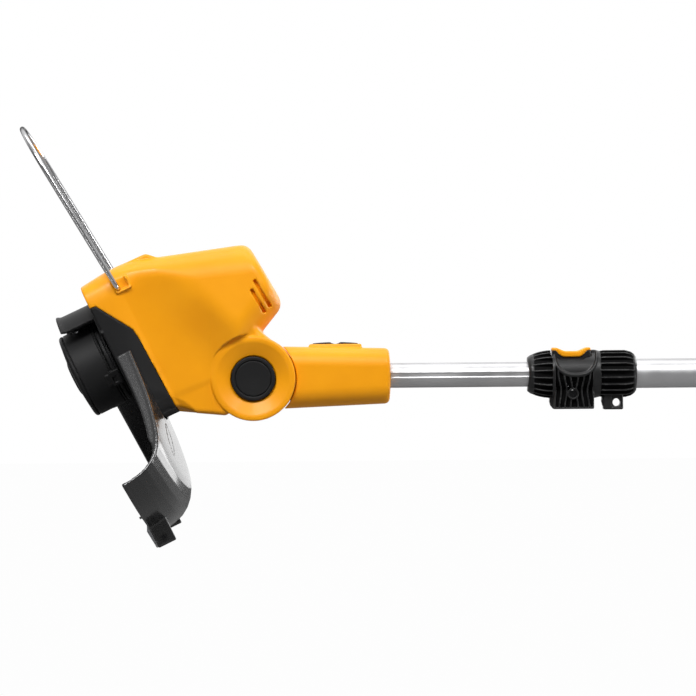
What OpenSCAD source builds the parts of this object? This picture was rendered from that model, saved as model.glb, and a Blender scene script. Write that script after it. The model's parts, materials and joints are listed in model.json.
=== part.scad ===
// String trimmer: a battery trimmer with a tilting, swivelling head on a telescopic shaft.
// The row frame has its origin in the strap eye under the shaft coupler, +X towards the user,
// +Y across the tool and +Z up, with the shaft lying level.
// The shaft frame is parallel to it and has its origin on the shaft axis, above the tilt hinge.
// The head frame has +Z up the spool axis, +X to the rear, and its origin in the spool's face.

/* [Head] */
// Angle between the spool axis and the shaft at rest
head_angle = 26; // [24:1:28]
// Distance from the spool axis back to the tilt hinge
hinge_back = 70.8; // [70:0.2:72]
// Distance from the spool face up to the tilt hinge
hinge_up = 136.7; // [136:0.1:138]
// Outer radius of the two hinge ears
ear_r = 37.4; // [36:0.2:38]
// Half the width of the head's foot
foot_half_w = 48; // [46:1:49]
// Wall thickness of the head's shells
head_wall = 3; // [2.5:0.5:3.5]

/* [Guard and wire] */
// Outer radius of the guard's skirt
skirt_r = 157; // [154:1:160]
// Thickness of the guard
guard_t = 2.6; // [2.2:0.1:3.2]
// Reach of the wire guard from its pivot
wire_reach = 166; // [140:2:180]
// Thickness of the wire
wire_d = 3.8; // [3:0.2:4]

/* [Spool] */
// Outer radius of the spool cap
cap_r = 38.5; // [37:0.5:40]
// Height of the spool cap
cap_h = 28.5; // [27:0.5:29]
// Travel of the bump knob
bump_travel = 4.5; // [3:0.5:5]

/* [Shaft] */
// Outer diameter of the lower tube
lower_od = 22; // [21:0.5:22.2]
// Outer diameter of the upper tube
upper_od = 26; // [26:0.5:27]
// Wall thickness of both tubes
tube_wall = 1.3; // [1.2:0.05:1.4]
// Where the upper tube ends, measured from the tilt hinge
upper_end = 760; // [740:5:790]
// Distance from the tilt hinge to the strap eye
eye_x = 322; // [320:1:324]
// Drop of the strap eye below the shaft axis
eye_drop = 25.4; // [25:0.2:26]
// Radius of the strap eye
eye_r = 3.5; // [3:0.25:4]

/* [Handles] */
// Where the auxiliary handle's clamp sits on the shaft
aux_x = 590; // [560:5:620]
// Height of the auxiliary grip above the shaft
aux_h = 126; // [110:1:130]
// Outward lean of the auxiliary loop's legs
leg_lean = 46; // [42:1:48]
// Half the width of the rear handle
handle_half_w = 19; // [18:0.5:21]

/* [Hidden] */
$fn = 64;
hull_fn = 28;

orange = "orange";
black = [0.14, 0.14, 0.15];
grey = [0.3, 0.3, 0.31];
steel = [0.7, 0.71, 0.73];
silver = [0.82, 0.83, 0.84];
copper = [0.72, 0.43, 0.22];

eps = 0.01;             // overlap of pieces that are joined
run = 0.05;             // radial clearance of a running fit
gap = 0.3;              // distance kept between bodies that pass each other
thread_r = 1.55;        // bore that a screw's thread sits in

hinge_drop = 1.5;       // the tilt hinge lies this far under the shaft axis
barrel_half_w = 16.5;   // half the width of the socket's hinge barrel
barrel_r = 33.5;        // radius of that barrel
ear_in = barrel_half_w + 0.5;
ear_out = 31;           // outer face of an ear, from the middle
ear_floor = 20;         // where the ear's counterbore ends
button_r = 19.6;        // tilt button
button_bore = button_r + gap;
axle_r = 6;             // tilt axle

foot_z = 36;            // underside of the head's foot
foot_front = -70;
foot_rear = 68;
foot_corner = 26;
foot_top = 62;          // where the foot's upright sides end
motor_top = 187;        // top of the motor housing

wire_x = -53;           // wire guard pivot in the head frame
wire_z = 66;
wire_y = 47;            // a leg's distance from the middle
wire_dip = 5;           // slope of the wire guard below the spool plane's direction

lower_r = lower_od / 2;
upper_r = upper_od / 2;
lower_start = 72;
lower_end = 480;
upper_start = 305;      // mouth of the upper tube, inside the coupler
coupler_start = 243;
coupler_end = 340;
coupler_r = 21.5;

trigger_x = 836;        // trigger pivot in the shaft frame
trigger_z = -9;
dock_x = 985;           // rear face of the handle, where the battery docks

// ---------- frames ----------

// Puts a piece that is drawn in the shaft frame into the row frame
module in_shaft() translate([-eye_x, 0, eye_drop]) children();

// Puts a piece that is drawn in the head frame into the row frame
module in_head()
  in_shaft() translate([0, 0, -hinge_drop]) rotate([0, 90 - head_angle, 0])
    translate([-hinge_back, 0, -hinge_up]) children();

// From the hinge outwards in the head frame, with axes parallel to the shaft at rest
module at_hinge() translate([hinge_back, 0, hinge_up]) rotate([0, head_angle - 90, 0]) children();

// A cylinder about an axis along Y, from y = a to y = b
module y_cyl(r, a, b) translate([0, b, 0]) rotate([90, 0, 0]) cylinder(r = r, h = b - a);

// A cylinder about an axis along X, from x = a to x = b
module x_cyl(r, a, b) translate([a, 0, 0]) rotate([0, 90, 0]) cylinder(r = r, h = b - a);

// A ring about the Z axis
module ring(r_out, r_in, z0, z1)
  translate([0, 0, z0]) difference() {
    cylinder(r = r_out, h = z1 - z0);
    translate([0, 0, -1]) cylinder(r = r_in, h = z1 - z0 + 2);
  }

// A profile of [x, radius] points turned about the X axis
module x_turned(points) rotate([0, 90, 0]) rotate_extrude() polygon([for (p = points) [p[1], p[0]]]);

// A flat outline in X and Z, w wide about the middle
module slab(w) rotate([90, 0, 0]) linear_extrude(w, center = true) children();

// Keeps one side of the middle plane: -1 is the near side, 1 the far side
module one_side(side, size = 2400)
  intersection() {
    children();
    translate([-size / 2, side < 0 ? -size : 0, -size / 2]) cube(size);
  }

// A coil spring of square wire: rings that are joined by a thin post, about the Z axis
module spring(r, wire_r, z0, z1, turns) {
  pitch = (z1 - z0 - 2 * wire_r) / turns;
  for (i = [0 : turns]) ring(r, r - 2 * wire_r, z0 + i * pitch, z0 + i * pitch + 2 * wire_r);
  translate([r - 1.6 * wire_r, -wire_r / 2, z0]) cube([wire_r, wire_r, z1 - z0]);
}

// A screw along +Z with its head's outer face at z = 0 and its tip below
module screw(len, head_r = 3.2, shank_r = 1.5, head_h = 2) {
  difference() {
    translate([0, 0, -head_h]) cylinder(r = head_r, h = head_h);
    for (a = [0, 90]) rotate(a) translate([-head_r * 0.6, -0.45, -1.1]) cube([head_r * 1.2, 0.9, 2]);
  }
  translate([0, 0, -len]) cylinder(r = shank_r, h = len - head_h + eps);
}

// ---------- head: shells ----------

// Outline of the head's foot from below, pulled in by g
module foot_plan(g)
  translate([foot_front + foot_corner, -foot_half_w + foot_corner])
    offset(r = foot_corner - g, $fn = 48)
      square([foot_rear - foot_front - 2 * foot_corner, 2 * (foot_half_w - foot_corner)]);

// The head's outer form, pulled in by g; a pulled-in form is open below
module head_form(g) {
  bottom = g > 0 ? foot_z - 2 : foot_z;
  translate([0, 0, bottom]) linear_extrude(foot_top - 2 - bottom - g) foot_plan(g);
  // flank, from the foot back to the hinge
  hull() {
    translate([0, 0, foot_top - 5]) linear_extrude(5 - g) foot_plan(g + 0.15);
    translate([hinge_back, 0, hinge_up]) y_cyl(36 - g, g - 27, 27 - g, $fn = hull_fn);
    translate([-8, 0, 122]) y_cyl(16 - g, g - 42, 42 - g, $fn = hull_fn);
  }
  // motor housing: a cone that opens towards the foot and leans back a little
  hull() {
    translate([-70 + g, -42 + g, 60]) cube([96 - 2 * g, 84 - 2 * g, 6]);
    translate([-5.5, 0, 128]) cylinder(r = 46 - g, h = 4, $fn = 40);
    translate([-5.3, 0, 166]) cylinder(r = 40 - g, h = 4, $fn = 40);
    translate([-4.4, 0, motor_top - 4 - g]) cylinder(r1 = 34 - g, r2 = 30 - g, h = 4, $fn = 40);
  }
}

// The part of the head's form that is the black base cover
base_line = [
  [-48.2, 20], [-48.2, 35], [-47.4, 41.6], [-15.2, 61.7], [-6.4, 62.9], [67.4, 64.9], [90, 65.2],
  [90, 20]
];
module base_zone() slab(200) polygon(base_line);

ear_disc = [
  [0, ear_in - 2], [ear_r, ear_in - 2], [ear_r, ear_out - 1.2], [ear_r - 1.2, ear_out], [0, ear_out]
];
ear_room = [
  [0, ear_in - 4], [8, ear_in - 4], [8, ear_floor], [button_bore, ear_floor], [button_bore, 26],
  [button_bore + 0.6, 26], [32.5 + 5, ear_out + 2], [32.5 + 5, 60], [0, 60]
];

head_bosses = [[-42, 84], [-35, 150], [40, 84], [31, 140]];
vent_slots = [[-12, 176], [-3, 170]];

// Where the socket's barrel and web move inside the head
module barrel_room() {
  y_cyl(barrel_r + 0.5, -ear_in, ear_in);
  slab(2 * ear_in) polygon([
    [0, 0], [60 * cos(40), 60 * sin(40)], [90, 0], [60, -90], [60 * cos(102), -60 * sin(102)]
  ]);
}

module head_half(side) {
  far = side > 0;
  one_side(side)
    difference() {
      union() {
        difference() {
          head_form(0);
          difference() {
            head_form(head_wall);
            at_hinge() y_cyl(ear_r - 0.4, -ear_in, ear_in);
            for (b = head_bosses) translate([b[0], 0, b[1]]) y_cyl(4, -50, 50);
            for (s = [-1, 1]) translate([wire_x - 9, s * 40.5 - 3, wire_z - 8]) cube([16, 6, 24]);
          }
          base_zone();
        }
        translate([hinge_back, 0, hinge_up]) rotate([far ? -90 : 90, 0, 0])
          rotate_extrude() polygon(ear_disc);
      }
      translate([hinge_back, 0, hinge_up]) rotate([far ? -90 : 90, 0, 0])
        rotate_extrude() polygon(ear_room);
      at_hinge() barrel_room();
      for (v = vent_slots, s = [-1, 1])
        translate([v[0], s * 30, v[1]]) rotate([0, -4, 0]) translate([0, -12, -1.3]) cube([30, 24, 2.6]);
      for (s = [-1, 1]) translate([wire_x - 10, s < 0 ? -60 : 43.4, wire_z - 5])
        cube([15, 16.6, 20]);
      translate([wire_x, 0, wire_z]) y_cyl(wire_d / 2 + run, -60, 60);
      // each boss takes a screw from the far side
      for (b = head_bosses) translate([b[0], 0, b[1]]) {
        y_cyl(far ? 1.7 : thread_r, -14, 60);
        if (far) y_cyl(3.4, 24, 60);
      }
    }
}

module head_shell_near() color(orange) in_head() head_half(-1);
module head_shell_far() color(orange) in_head() head_half(1);

module base_cover() color(black) in_head() {
  difference() {
    union() {
      intersection() {
        difference() {
          head_form(0);
          head_form(head_wall);
        }
        base_zone();
      }
      // floor, which reaches into the shells' nose as well
      translate([0, 0, foot_z - 0.5]) linear_extrude(3.5) foot_plan(head_wall + 0.05);
      intersection() {
        translate([0, 0, foot_z]) linear_extrude(3) foot_plan(0);
        base_zone();
      }
      ring(30, 27, foot_z + 2, foot_z + 12);
    }
    translate([0, 0, 20]) cylinder(r = 12, h = 40);
    for (s = [-1, 1]) translate([34, 0, 45]) y_cyl(1.5, s < 0 ? -60 : 40, s < 0 ? -40 : 60);
  }
  // curved bumper in front of the spool
  translate([0, 0, 3.5]) rotate([0, 0, 180 - 43]) rotate_extrude(angle = 86)
    polygon([[51.6, 1], [54.6, 0], [54.6, 2.5], [54, 34], [51, 34], [51.6, 2.5]]);
  translate([0, 0, 34]) rotate([0, 0, 180 - 43]) rotate_extrude(angle = 86)
    polygon([[44, 0], [54, 0], [54, 1.9], [44, 1.9]]);
}

module head_screws() color(steel) in_head()
  for (b = head_bosses) translate([b[0], 26, b[1]]) rotate([-90, 0, 0]) screw(38);

// ---------- head: guard ----------

// The guard's section, from the hub out to the skirt's rim, d thick
function guard_outer() = [
  [46, 51.5], [76, 53.5], [96, 51], [121, 46.5], [132, 43.5], [141, 39], [148.5, 32.5],
  [154, 24], [skirt_r - 0.8, 12], [skirt_r, -3]
];
module guard_band(d) rotate_extrude($fn = 96) {
  top = guard_outer();
  low = [for (i = [len(top) - 1 : -1 : 0])
    [max(top[i][0] - d * min(1, i / 8), 40), top[i][1] - d * (i > 8 ? 0 : 1)]];
  polygon(concat(top, low));
}

// Plan of the guard: wings that open from the foot's sides back to the skirt
edge_a = [1, 51.5];
edge_b = [106, 117.5];
module guard_plan(inset = 0) offset(delta = -inset) polygon([
  [edge_a[0], -edge_a[1]], [edge_b[0], -edge_b[1]], [edge_b[0] + 20, -edge_b[1] - 3], [190, -60],
  [190, 60], [edge_b[0] + 20, edge_b[1] + 3], [edge_b[0], edge_b[1]], [edge_a[0], edge_a[1]]
]);
module edge_strip(side) difference() {
  guard_plan();
  guard_plan(guard_t);
  translate([edge_b[0] + 4, -200]) square(400);
  translate([-50, side < 0 ? 0 : -400]) square(400);
}
cutter_screws = [144, 160];
// Room for the foot, which the guard closes around
module foot_room(g) translate([0, 0, -20]) linear_extrude(120) foot_plan(-g);

module guard() color(black) in_head() difference() {
  union() {
    intersection() {
      guard_band(guard_t);
      translate([0, 0, -10]) linear_extrude(80) guard_plan();
    }
    // shallow lip along the near edge, deep wall along the far edge
    intersection() {
      guard_band(11.5);
      translate([0, 0, -10]) linear_extrude(80) edge_strip(-1);
    }
    intersection() {
      union() {
        guard_band(11.5);
        translate([0, 0, 12]) linear_extrude(30) circle(143, $fn = 96);
      }
      translate([0, 0, -10]) linear_extrude(80) edge_strip(1);
      cylinder(r = skirt_r, h = 200, center = true, $fn = 96);
    }
    // collar that hugs the foot
    translate([0, 0, 39.8]) linear_extrude(11.6) intersection() {
      foot_plan(-gap - guard_t);
      translate([0, -80]) square([120, 160]);
    }
    // fin that holds the line cutter, and a small stop rib
    translate([140, -54, -3]) cube([27, 3, 17.6]);
    translate([150, 19, 6]) cube([7.5, 2.5, 15]);
  }
  foot_room(gap);
  for (s = [-1, 1]) translate([34, 0, 45]) y_cyl(1.7, s < 0 ? -60 : 40, s < 0 ? -40 : 60);
  // slot for the line cutter, and its screws
  translate([130, -50.5, -8]) cube([45, 2, 22]);
  for (x = cutter_screws) translate([x, 0, 6]) {
    y_cyl(1.5, -60, -45);
    y_cyl(3, -62, -54);
  }
}

module guard_screws() color(steel) in_head() {
  for (s = [-1, 1]) translate([34, s * 53.5, 45]) rotate([-90 * s, 0, 0]) screw(12, 3, 1.4);
  for (x = cutter_screws) translate([x, -56, 6]) rotate([90, 0, 0]) screw(5, 2.6, 1.4, 1.6);
}

module line_cutter() color(steel) in_head()
  translate([0, -49.4, 0]) slab(1.4) difference() {
    polygon([[142, -2.5], [149.5, -6], [166, -4.5], [166, 12], [142, 12]]);
    for (x = cutter_screws) translate([x, 6]) circle(1.6);
  }

// ---------- head: motor ----------

module motor_can() color(steel) in_head() translate([0, 0, 68]) difference() {
  cylinder(r = 21, h = 62);
  translate([0, 0, 2]) cylinder(r = 19, h = 70);
  translate([0, 0, -1]) cylinder(r = 8, h = 10);
  for (a = [0, 90, 180, 270]) rotate(a + 45) translate([14, 0, -1]) cylinder(r = thread_r, h = 4);
}

module motor_endcap() color(grey) in_head() translate([0, 0, 130]) difference() {
  union() {
    cylinder(r = 20.8, h = 5);
    cylinder(r = 12, h = 10);
    for (s = [-1, 1]) translate([s * 13 - 3, -4, 0]) cube([6, 8, 9]);
  }
  translate([0, 0, -1]) cylinder(r = 8, h = 8);
  translate([0, 0, -1]) cylinder(r = 3.5, h = 20);
}

module motor_bracket() color(grey) in_head() difference() {
  union() {
    translate([0, 0, 62]) cylinder(r = 34, h = 3.5);
    ring(24, 21.05, 65.4, 84);
    translate([0, 0, 62]) cylinder(r = 21, h = 6);
  }
  translate([0, 0, 50]) cylinder(r = 8.5, h = 40);
  for (a = [0, 90, 180, 270]) rotate(a + 45) translate([14, 0, 50]) cylinder(r = 1.7, h = 40);
}

module motor_screws() color(steel) in_head()
  for (a = [0, 90, 180, 270]) rotate(a + 45) translate([14, 0, 60]) rotate([180, 0, 0]) screw(10);

module shaft_bearings() color(silver) in_head() for (z = [[62, 69], [131.5, 136.9]])
  ring(8, 2.5 + run, z[0], z[1]);

// ---------- head: what turns ----------

module rotor_shaft() color(steel) in_head() translate([0, 0, 9]) cylinder(r = 2.5, h = 152);

module rotor_core() color(copper) in_head() {
  difference() {
    union() {
      translate([0, 0, 78]) cylinder(r = 16.5, h = 34);
      translate([0, 0, 72]) cylinder(r = 12, h = 46);
      translate([0, 0, 117]) cylinder(r = 8, h = 9);
    }
    translate([0, 0, 50]) cylinder(r = 2.5, h = 90);
    for (a = [0 : 60 : 300]) rotate(a) translate([13, -1.2, 77]) cube([6, 2.4, 36]);
  }
}

module fan() color(grey) in_head() {
  difference() {
    union() {
      translate([0, 0, 147]) cylinder(r = 26, h = 1.8);
      translate([0, 0, 147]) cylinder(r = 6, h = 12);
      for (a = [0 : 40 : 320]) rotate(a) translate([5, -0.8, 148]) cube([20, 1.6, 10]);
    }
    translate([0, 0, 140]) cylinder(r = 2.5, h = 30);
  }
}

module spool_hub() color(black) in_head() difference() {
  union() {
    translate([0, 0, 31]) cylinder(r = 36.5, h = 3.5);
    translate([0, 0, 24]) cylinder(r = 6, h = 11);
  }
  translate([0, 0, 0]) cylinder(r = 2.5, h = 60);
}

lug_angle = -66;
module spool_cap() color(black) in_head() {
  difference() {
    rotate_extrude($fn = 96) polygon([
      [17.3, -5.6], [24, -4.9], [36.6, -3.4], [cap_r, -1.6], [cap_r, cap_h - 2],
      [cap_r - 1.2, cap_h], [35.6, cap_h], [35.6, 4], [30, 1.6], [22, 0], [17.3, -0.4]
    ]);
    for (a = [20, 200]) rotate(a) translate([0, 0, 15]) rotate([0, 90, 0]) cylinder(r = 3, h = 60);
    rotate(180) translate([34, -2, 15]) cube([10, 1.2, 20]);
  }
  // two latch lugs that hook over the hub's rim
  for (a = [lug_angle, lug_angle + 180]) rotate(a) {
    translate([35.8, -7, 25]) cube([4, 14, 5.9]);
    translate([36.7, -7, 30.8]) cube([3.1, 14, 3.6]);
  }
}

module line_eyelets() color(steel) in_head() for (a = [20, 200]) rotate(a)
  translate([0, 0, 15]) rotate([0, 90, 0]) difference() {
    union() {
      translate([0, 0, 34.8]) cylinder(r = 2.95, h = 4.6);
      translate([0, 0, 38.6]) cylinder(r = 4.2, h = 1.2);
    }
    cylinder(r = 1.5, h = 60);
  }

module bump_knob() color(black) in_head() difference() {
  rotate_extrude() polygon([
    [0, -7.4], [8, -7.3], [14, -6.8], [17, -5.4], [17, 4], [10, 4], [10, reel_z], [0, reel_z]
  ]);
  translate([0, 0, 0]) cylinder(r = 6, h = 20);
  for (a = [0 : 45 : 315]) rotate(a) translate([17.5, 0, -12]) cylinder(r = 1.6, h = 8);
}

reel_z = 7.5;
module spool_reel() color(grey) in_head() difference() {
  union() {
    translate([0, 0, reel_z]) cylinder(r = 33, h = 1.6);
    translate([0, 0, reel_z]) cylinder(r = 13, h = 17);
    translate([0, 0, reel_z + 15.4]) cylinder(r = 33, h = 1.6);
  }
  translate([0, 0, reel_z + 3]) cylinder(r = 10.5, h = 30);
  translate([0, 0, reel_z - 1]) cylinder(r = 5, h = 10);
}

module line_coil() color([0.95, 0.35, 0.1]) in_head()
  ring(29, 13, reel_z + 1.7, reel_z + 15.3);

module feed_spring() color(steel) in_head() spring(9.5, 0.7, reel_z + 3.1, 30.9, 7);

// ---------- head: tilt hinge and wire ----------

module hinge_axle() color(steel) in_head() translate([hinge_back, 0, hinge_up]) {
  y_cyl(axle_r, -ear_floor + 0.1, ear_floor);
  for (s = [-1, 1]) y_cyl(7.9, s < 0 ? -ear_floor : ear_in + 0.1, s < 0 ? -ear_in - 0.1 : ear_floor);
}

module axle_cap() color(black) in_head() translate([hinge_back, 0, hinge_up])
  rotate([-90, 0, 0]) rotate_extrude() polygon([
    [0, ear_floor + 0.2], [button_r, ear_floor + 0.2], [button_r, 27.5], [button_r - 1.2, 28.5],
    [15, 28.5], [14, 27.6], [0, 28.2]
  ]);

module tilt_button() color(black) in_head() translate([hinge_back, 0, hinge_up])
  rotate([90, 0, 0]) rotate_extrude() polygon([
    [0, 25], [11, 25], [11, 23.6], [button_r, 23.6], [button_r, 27.5], [button_r - 1.2, 28.5],
    [16.8, 28.5], [16, 27.7], [15.2, 28.1], [0, 27.4]
  ]);

module tilt_spring() color(steel) in_head() translate([hinge_back, 0, hinge_up])
  rotate([90, 0, 0]) spring(9.6, 0.6, ear_floor + 0.1, 24.9, 3);

// A hoop with its two ends bent in at the pivots
module wire_guard() color(silver) in_head()
  translate([wire_x, 0, wire_z]) rotate([0, 180 - wire_dip, 0]) {
    r = wire_d / 2;
    straight = wire_reach - r - wire_y;
    for (s = [-1, 1]) translate([0, s * wire_y, 0]) {
      x_cyl(r, 0, straight);
      sphere(r);
      y_cyl(r, s < 0 ? 0 : -8, s < 0 ? 8 : 0);
    }
    translate([straight, 0, 0]) rotate([0, 0, -90]) rotate_extrude(angle = 180, $fn = 96)
      translate([wire_y, 0]) circle(r, $fn = 32);
  }

// ---------- socket ----------

// A cross-section of the socket, rounded, pulled in by g
module socket_section(z_low, z_high, half_w, corner, g)
  translate([0, (z_low + z_high) / 2]) offset(r = corner - g, $fn = 32)
    square([2 * (half_w - corner), z_high - z_low - 2 * corner], center = true);
module section_at(x, t = 0.1) translate([x, 0, 0]) rotate([90, 0, 90]) linear_extrude(t) children();

module socket_form(g) hull() {
  section_at(g > 0 ? 28 : 4) socket_section(-29, 26.8, 26.5, 17, g);
  section_at(117 - g) socket_section(-24.6, 24.2, 24.6, 16, g);
  section_at(121.5 - g) socket_section(-22.2, 21.8, 22, 14, g);
}

module socket_barrel() translate([0, 0, -hinge_drop]) rotate([90, 0, 0]) rotate_extrude()
  polygon([
    [axle_r + run, -barrel_half_w], [13, -barrel_half_w], [13, -4], [29, -4],
    [29, -barrel_half_w], [barrel_r, -barrel_half_w], [barrel_r, barrel_half_w],
    [29, barrel_half_w], [29, 4], [13, 4], [13, barrel_half_w], [axle_r + run, barrel_half_w]
  ]);

socket_bosses = [[52, -19], [103, -19.5], [110, 19]];
rocker_x = 72.5;
module socket_half(side) {
  far = side > 0;
  one_side(side) difference() {
    union() {
      difference() {
        socket_form(0);
        difference() {
          socket_form(3);
          // end wall around the ears, ribs that carry the swivel bush, and bosses
          translate([0, 0, -hinge_drop]) y_cyl(41.5, -40, 40);
          for (x = [76, 97]) x_cyl(40, x, x + 11);
          for (b = socket_bosses) translate([b[0], 0, b[1]]) y_cyl(3.6, -40, 40);
        }
        translate([0, 0, -hinge_drop]) y_cyl(38, -60, 60);
        x_cyl(15 + run, 60, 112);
        x_cyl(lower_r + 0.4, 60, 140);
      }
      socket_barrel();
      // web between the barrel and the end wall
      difference() {
        translate([20, -13, -21]) cube([22, 26, 38]);
        translate([0, 0, -hinge_drop]) y_cyl(31, -50, 50);
      }
      translate([49, -9, 22]) cube([47, 18, 7]);
    }
    // well of the rocker
    translate([51.5, -7.4, 21]) cube([42, 14.8, 20]);
    translate([rocker_x, 0, 25.4]) y_cyl(1.5, -12, 12);
    for (b = socket_bosses) translate([b[0], 0, b[1]]) {
      y_cyl(far ? 1.7 : thread_r, -12, 60);
      if (far) y_cyl(3.4, 15, 60);
    }
  }
}
module socket_near() color(orange) in_shaft() socket_half(-1);
module socket_far() color(orange) in_shaft() socket_half(1);

module socket_screws() color(steel) in_shaft()
  for (b = socket_bosses) translate([b[0], 17, b[1]]) rotate([-90, 0, 0]) screw(27);

module rocker_pin() color(steel) in_shaft() translate([rocker_x, 0, 25.4]) y_cyl(1.45, -9.5, 9.5);

module swivel_rocker() color(black) in_shaft() difference() {
  slab(14) polygon([
    [52.3, 26.4], [54, 29.2], [66, 30.4], [69.5, 29.2], [75.5, 29.2], [79, 30.4], [91, 29.6],
    [92.6, 26.8], [82, 24.4], [76, 22.6], [69, 22.6], [63, 24.2]
  ]);
  translate([rocker_x, 0, 25.4]) y_cyl(1.5, -12, 12);
}

// ---------- shaft ----------

module lower_tube() color(silver) in_shaft() difference() {
  x_cyl(lower_r, lower_start, lower_end);
  x_cyl(lower_r - tube_wall, lower_start - 1, lower_end + 1);
}

module swivel_bush() color(grey) in_shaft() difference() {
  union() {
    x_cyl(15, 73, 111.5);
    x_cyl(18, 88.5, 95.5);
  }
  x_cyl(lower_r, 60, 130);
}

module tube_plug() color(black) in_shaft() difference() {
  union() {
    x_cyl(upper_r - tube_wall - run, lower_end + eps, lower_end + 22);
    x_cyl(lower_r - tube_wall, lower_end - 14, lower_end + 1);
  }
  x_cyl(6, lower_end - 20, lower_end + 30);
}

module upper_tube() color(silver) in_shaft() difference() {
  x_cyl(upper_r, upper_start, upper_end);
  x_cyl(upper_r - tube_wall, upper_start - 1, upper_end + 1);
}

module glide_bush() color(grey) in_shaft() difference() {
  union() {
    x_cyl(upper_r - tube_wall, upper_start, upper_start + 32);
    x_cyl(upper_r, upper_start - 1.8, upper_start);
  }
  x_cyl(lower_r + run, upper_start - 10, upper_start + 60);
}

// ---------- coupler ----------

coupler_profile = [
  [coupler_start, 0], [coupler_start, 15.2], [246, 17.4], [254, 20.2], [262, coupler_r],
  [303, coupler_r], [307, 20.6], [311, 21.2], [330, 21.2], [336, 19.4], [339.4, 16.4],
  [coupler_end, 14.5], [coupler_end, 0]
];
yoke_x = 283;
yoke_travel = 3.5;
yoke_r = 17;
yoke_lift = 1.5;        // centre of the yoke's ring above the shaft axis
yoke_half_l = 15;
lock_z = -17.5;         // coupler screw

module coupler_half(side) {
  far = side > 0;
  one_side(side) difference() {
    union() {
      x_turned(coupler_profile);
      translate([266, -16, -31]) cube([35.5, 32, 26]);
      // lug of the strap eye, with a gusset at its front and at the block's front
      translate([310.4, -8, -31.8]) cube([17.5, 16, 18]);
      for (x = [311, 266.6]) slab(14) polygon([[x, -31], [x, -16], [x - 7, -16], [x - 5.4, -26]]);
    }
    x_cyl(lower_r + gap, 200, 400);
    x_cyl(upper_r, upper_start - 1.8, 400);
    // room for the yoke, from its rest up to fully pressed
    for (z = [yoke_lift + gap, yoke_lift - yoke_travel - gap]) translate([0, 0, z])
      x_cyl(yoke_r + gap, yoke_x - yoke_half_l - 0.6, yoke_x + yoke_half_l + 0.6);
    translate([264, -14.8, 10]) cube([35.6, 29.6, 20]);
    // wells of the two springs
    for (x = [-10.5, 10.5]) translate([yoke_x + x, 0, -29]) cylinder(r = 4.4, h = 16);
    translate([yoke_x, 0, lock_z]) {
      y_cyl(far ? thread_r : 1.7, -30, 12);
      if (!far) y_cyl(3.5, -30, -11.9);
    }
    translate([eye_x, 0, -eye_drop]) y_cyl(eye_r, -20, 20);
  }
  // boss of the coupler screw
  one_side(side) translate([yoke_x, 0, lock_z]) difference() {
    y_cyl(3.4, far ? 0 : -11.9, far ? 13 : 0);
    y_cyl(far ? thread_r : 1.7, -30, far ? 12 : 30);
  }
}
module coupler_near() color(grey) in_shaft() coupler_half(-1);
module coupler_far() color(grey) in_shaft() coupler_half(1);

module coupler_screw() color(steel) in_shaft()
  translate([yoke_x, -14, lock_z]) rotate([90, 0, 0]) screw(24);

// Yellow release button on top of a ring that brakes the lower tube
module lock_yoke() color(orange) in_shaft() difference() {
  union() {
    translate([0, 0, yoke_lift]) x_cyl(yoke_r, yoke_x - yoke_half_l, yoke_x + yoke_half_l);
    slab(28.8) polygon([
      [264.8, 22.4], [266.4, 23.6], [270, 23.4], [276, 20.9], [290, 20.9], [295.5, 23.4],
      [298, 23.6], [299.2, 22], [294, 14], [271, 14]
    ]);
  }
  x_cyl(lower_r + gap, 200, 400);
  translate([0, 0, yoke_travel + gap]) x_cyl(lower_r + gap, 200, 400);
  translate([200, -lower_r - gap, 0]) cube([200, 2 * (lower_r + gap), yoke_travel + gap]);
  translate([yoke_x - 4.2, -30, -30]) cube([8.4, 60, 30 - 8]);
}

module lock_springs() color(steel) in_shaft() for (x = [-10.5, 10.5])
  translate([yoke_x + x, 0, 0]) spring(3.9, 0.5, -28.9, yoke_lift - yoke_r - 0.1, 5);

// ---------- auxiliary handle ----------

aux_pivot_z = 27;
module aux_clamp() color(grey) in_shaft() translate([aux_x, 0, 0]) difference() {
  union() {
    x_cyl(19, -18, 18);
    translate([-18, -15, 0]) cube([36, 30, aux_pivot_z]);
    translate([0, 0, aux_pivot_z]) y_cyl(18, -15, 15);
  }
  x_cyl(upper_r, -40, 40);
  translate([0, 0, aux_pivot_z]) y_cyl(4, -30, 30);
}

aux_bend = 22;          // bend radius between a leg and the grip
leg_r = 8;
leg_foot = [19, aux_pivot_z + 25];
leg_len = (aux_h - aux_bend * (1 + sin(leg_lean)) - leg_foot[1]) / cos(leg_lean);
bend_y = leg_foot[0] + leg_len * sin(leg_lean) - aux_bend * cos(leg_lean);
module aux_handle() color(black) in_shaft() translate([aux_x, 0, 0])
  for (s = [-1, 1]) mirror([0, s < 0 ? 1 : 0, 0]) difference() {
    union() {
      // flat arm beside the clamp, and a round leg that leans out from its top
      translate([0, 0, aux_pivot_z]) y_cyl(14, 15.5, 22.5);
      translate([-9, 15.5, aux_pivot_z]) cube([18, 7, leg_foot[1] - aux_pivot_z]);
      translate([0, leg_foot[0], leg_foot[1]]) rotate([-leg_lean, 0, 0]) {
        sphere(leg_r);
        cylinder(r = leg_r, h = leg_len + eps);
        translate([0, -aux_bend, leg_len]) rotate([90, 0, 90])
          rotate_extrude(angle = 90 + leg_lean) translate([aux_bend, 0]) circle(leg_r, $fn = 32);
      }
    }
    translate([0, 0, aux_pivot_z]) {
      y_cyl(4, -40, 40);
      y_cyl(18.5, -40, 15.5);
    }
  }

module aux_grip() color(grey) in_shaft() translate([aux_x, 0, aux_h]) difference() {
  y_cyl(13, -bend_y, bend_y);
  for (y = [-24 : 8 : 24]) translate([0, y, 0]) rotate([90, 0, 0])
    rotate_extrude() translate([13.6, 0]) circle(1.4, $fn = 16);
}

module aux_bolt() color(steel) in_shaft() translate([aux_x, 0, aux_pivot_z]) {
  y_cyl(3.9, -38, 23);
  y_cyl(7, 22.6, 27);
}

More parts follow.
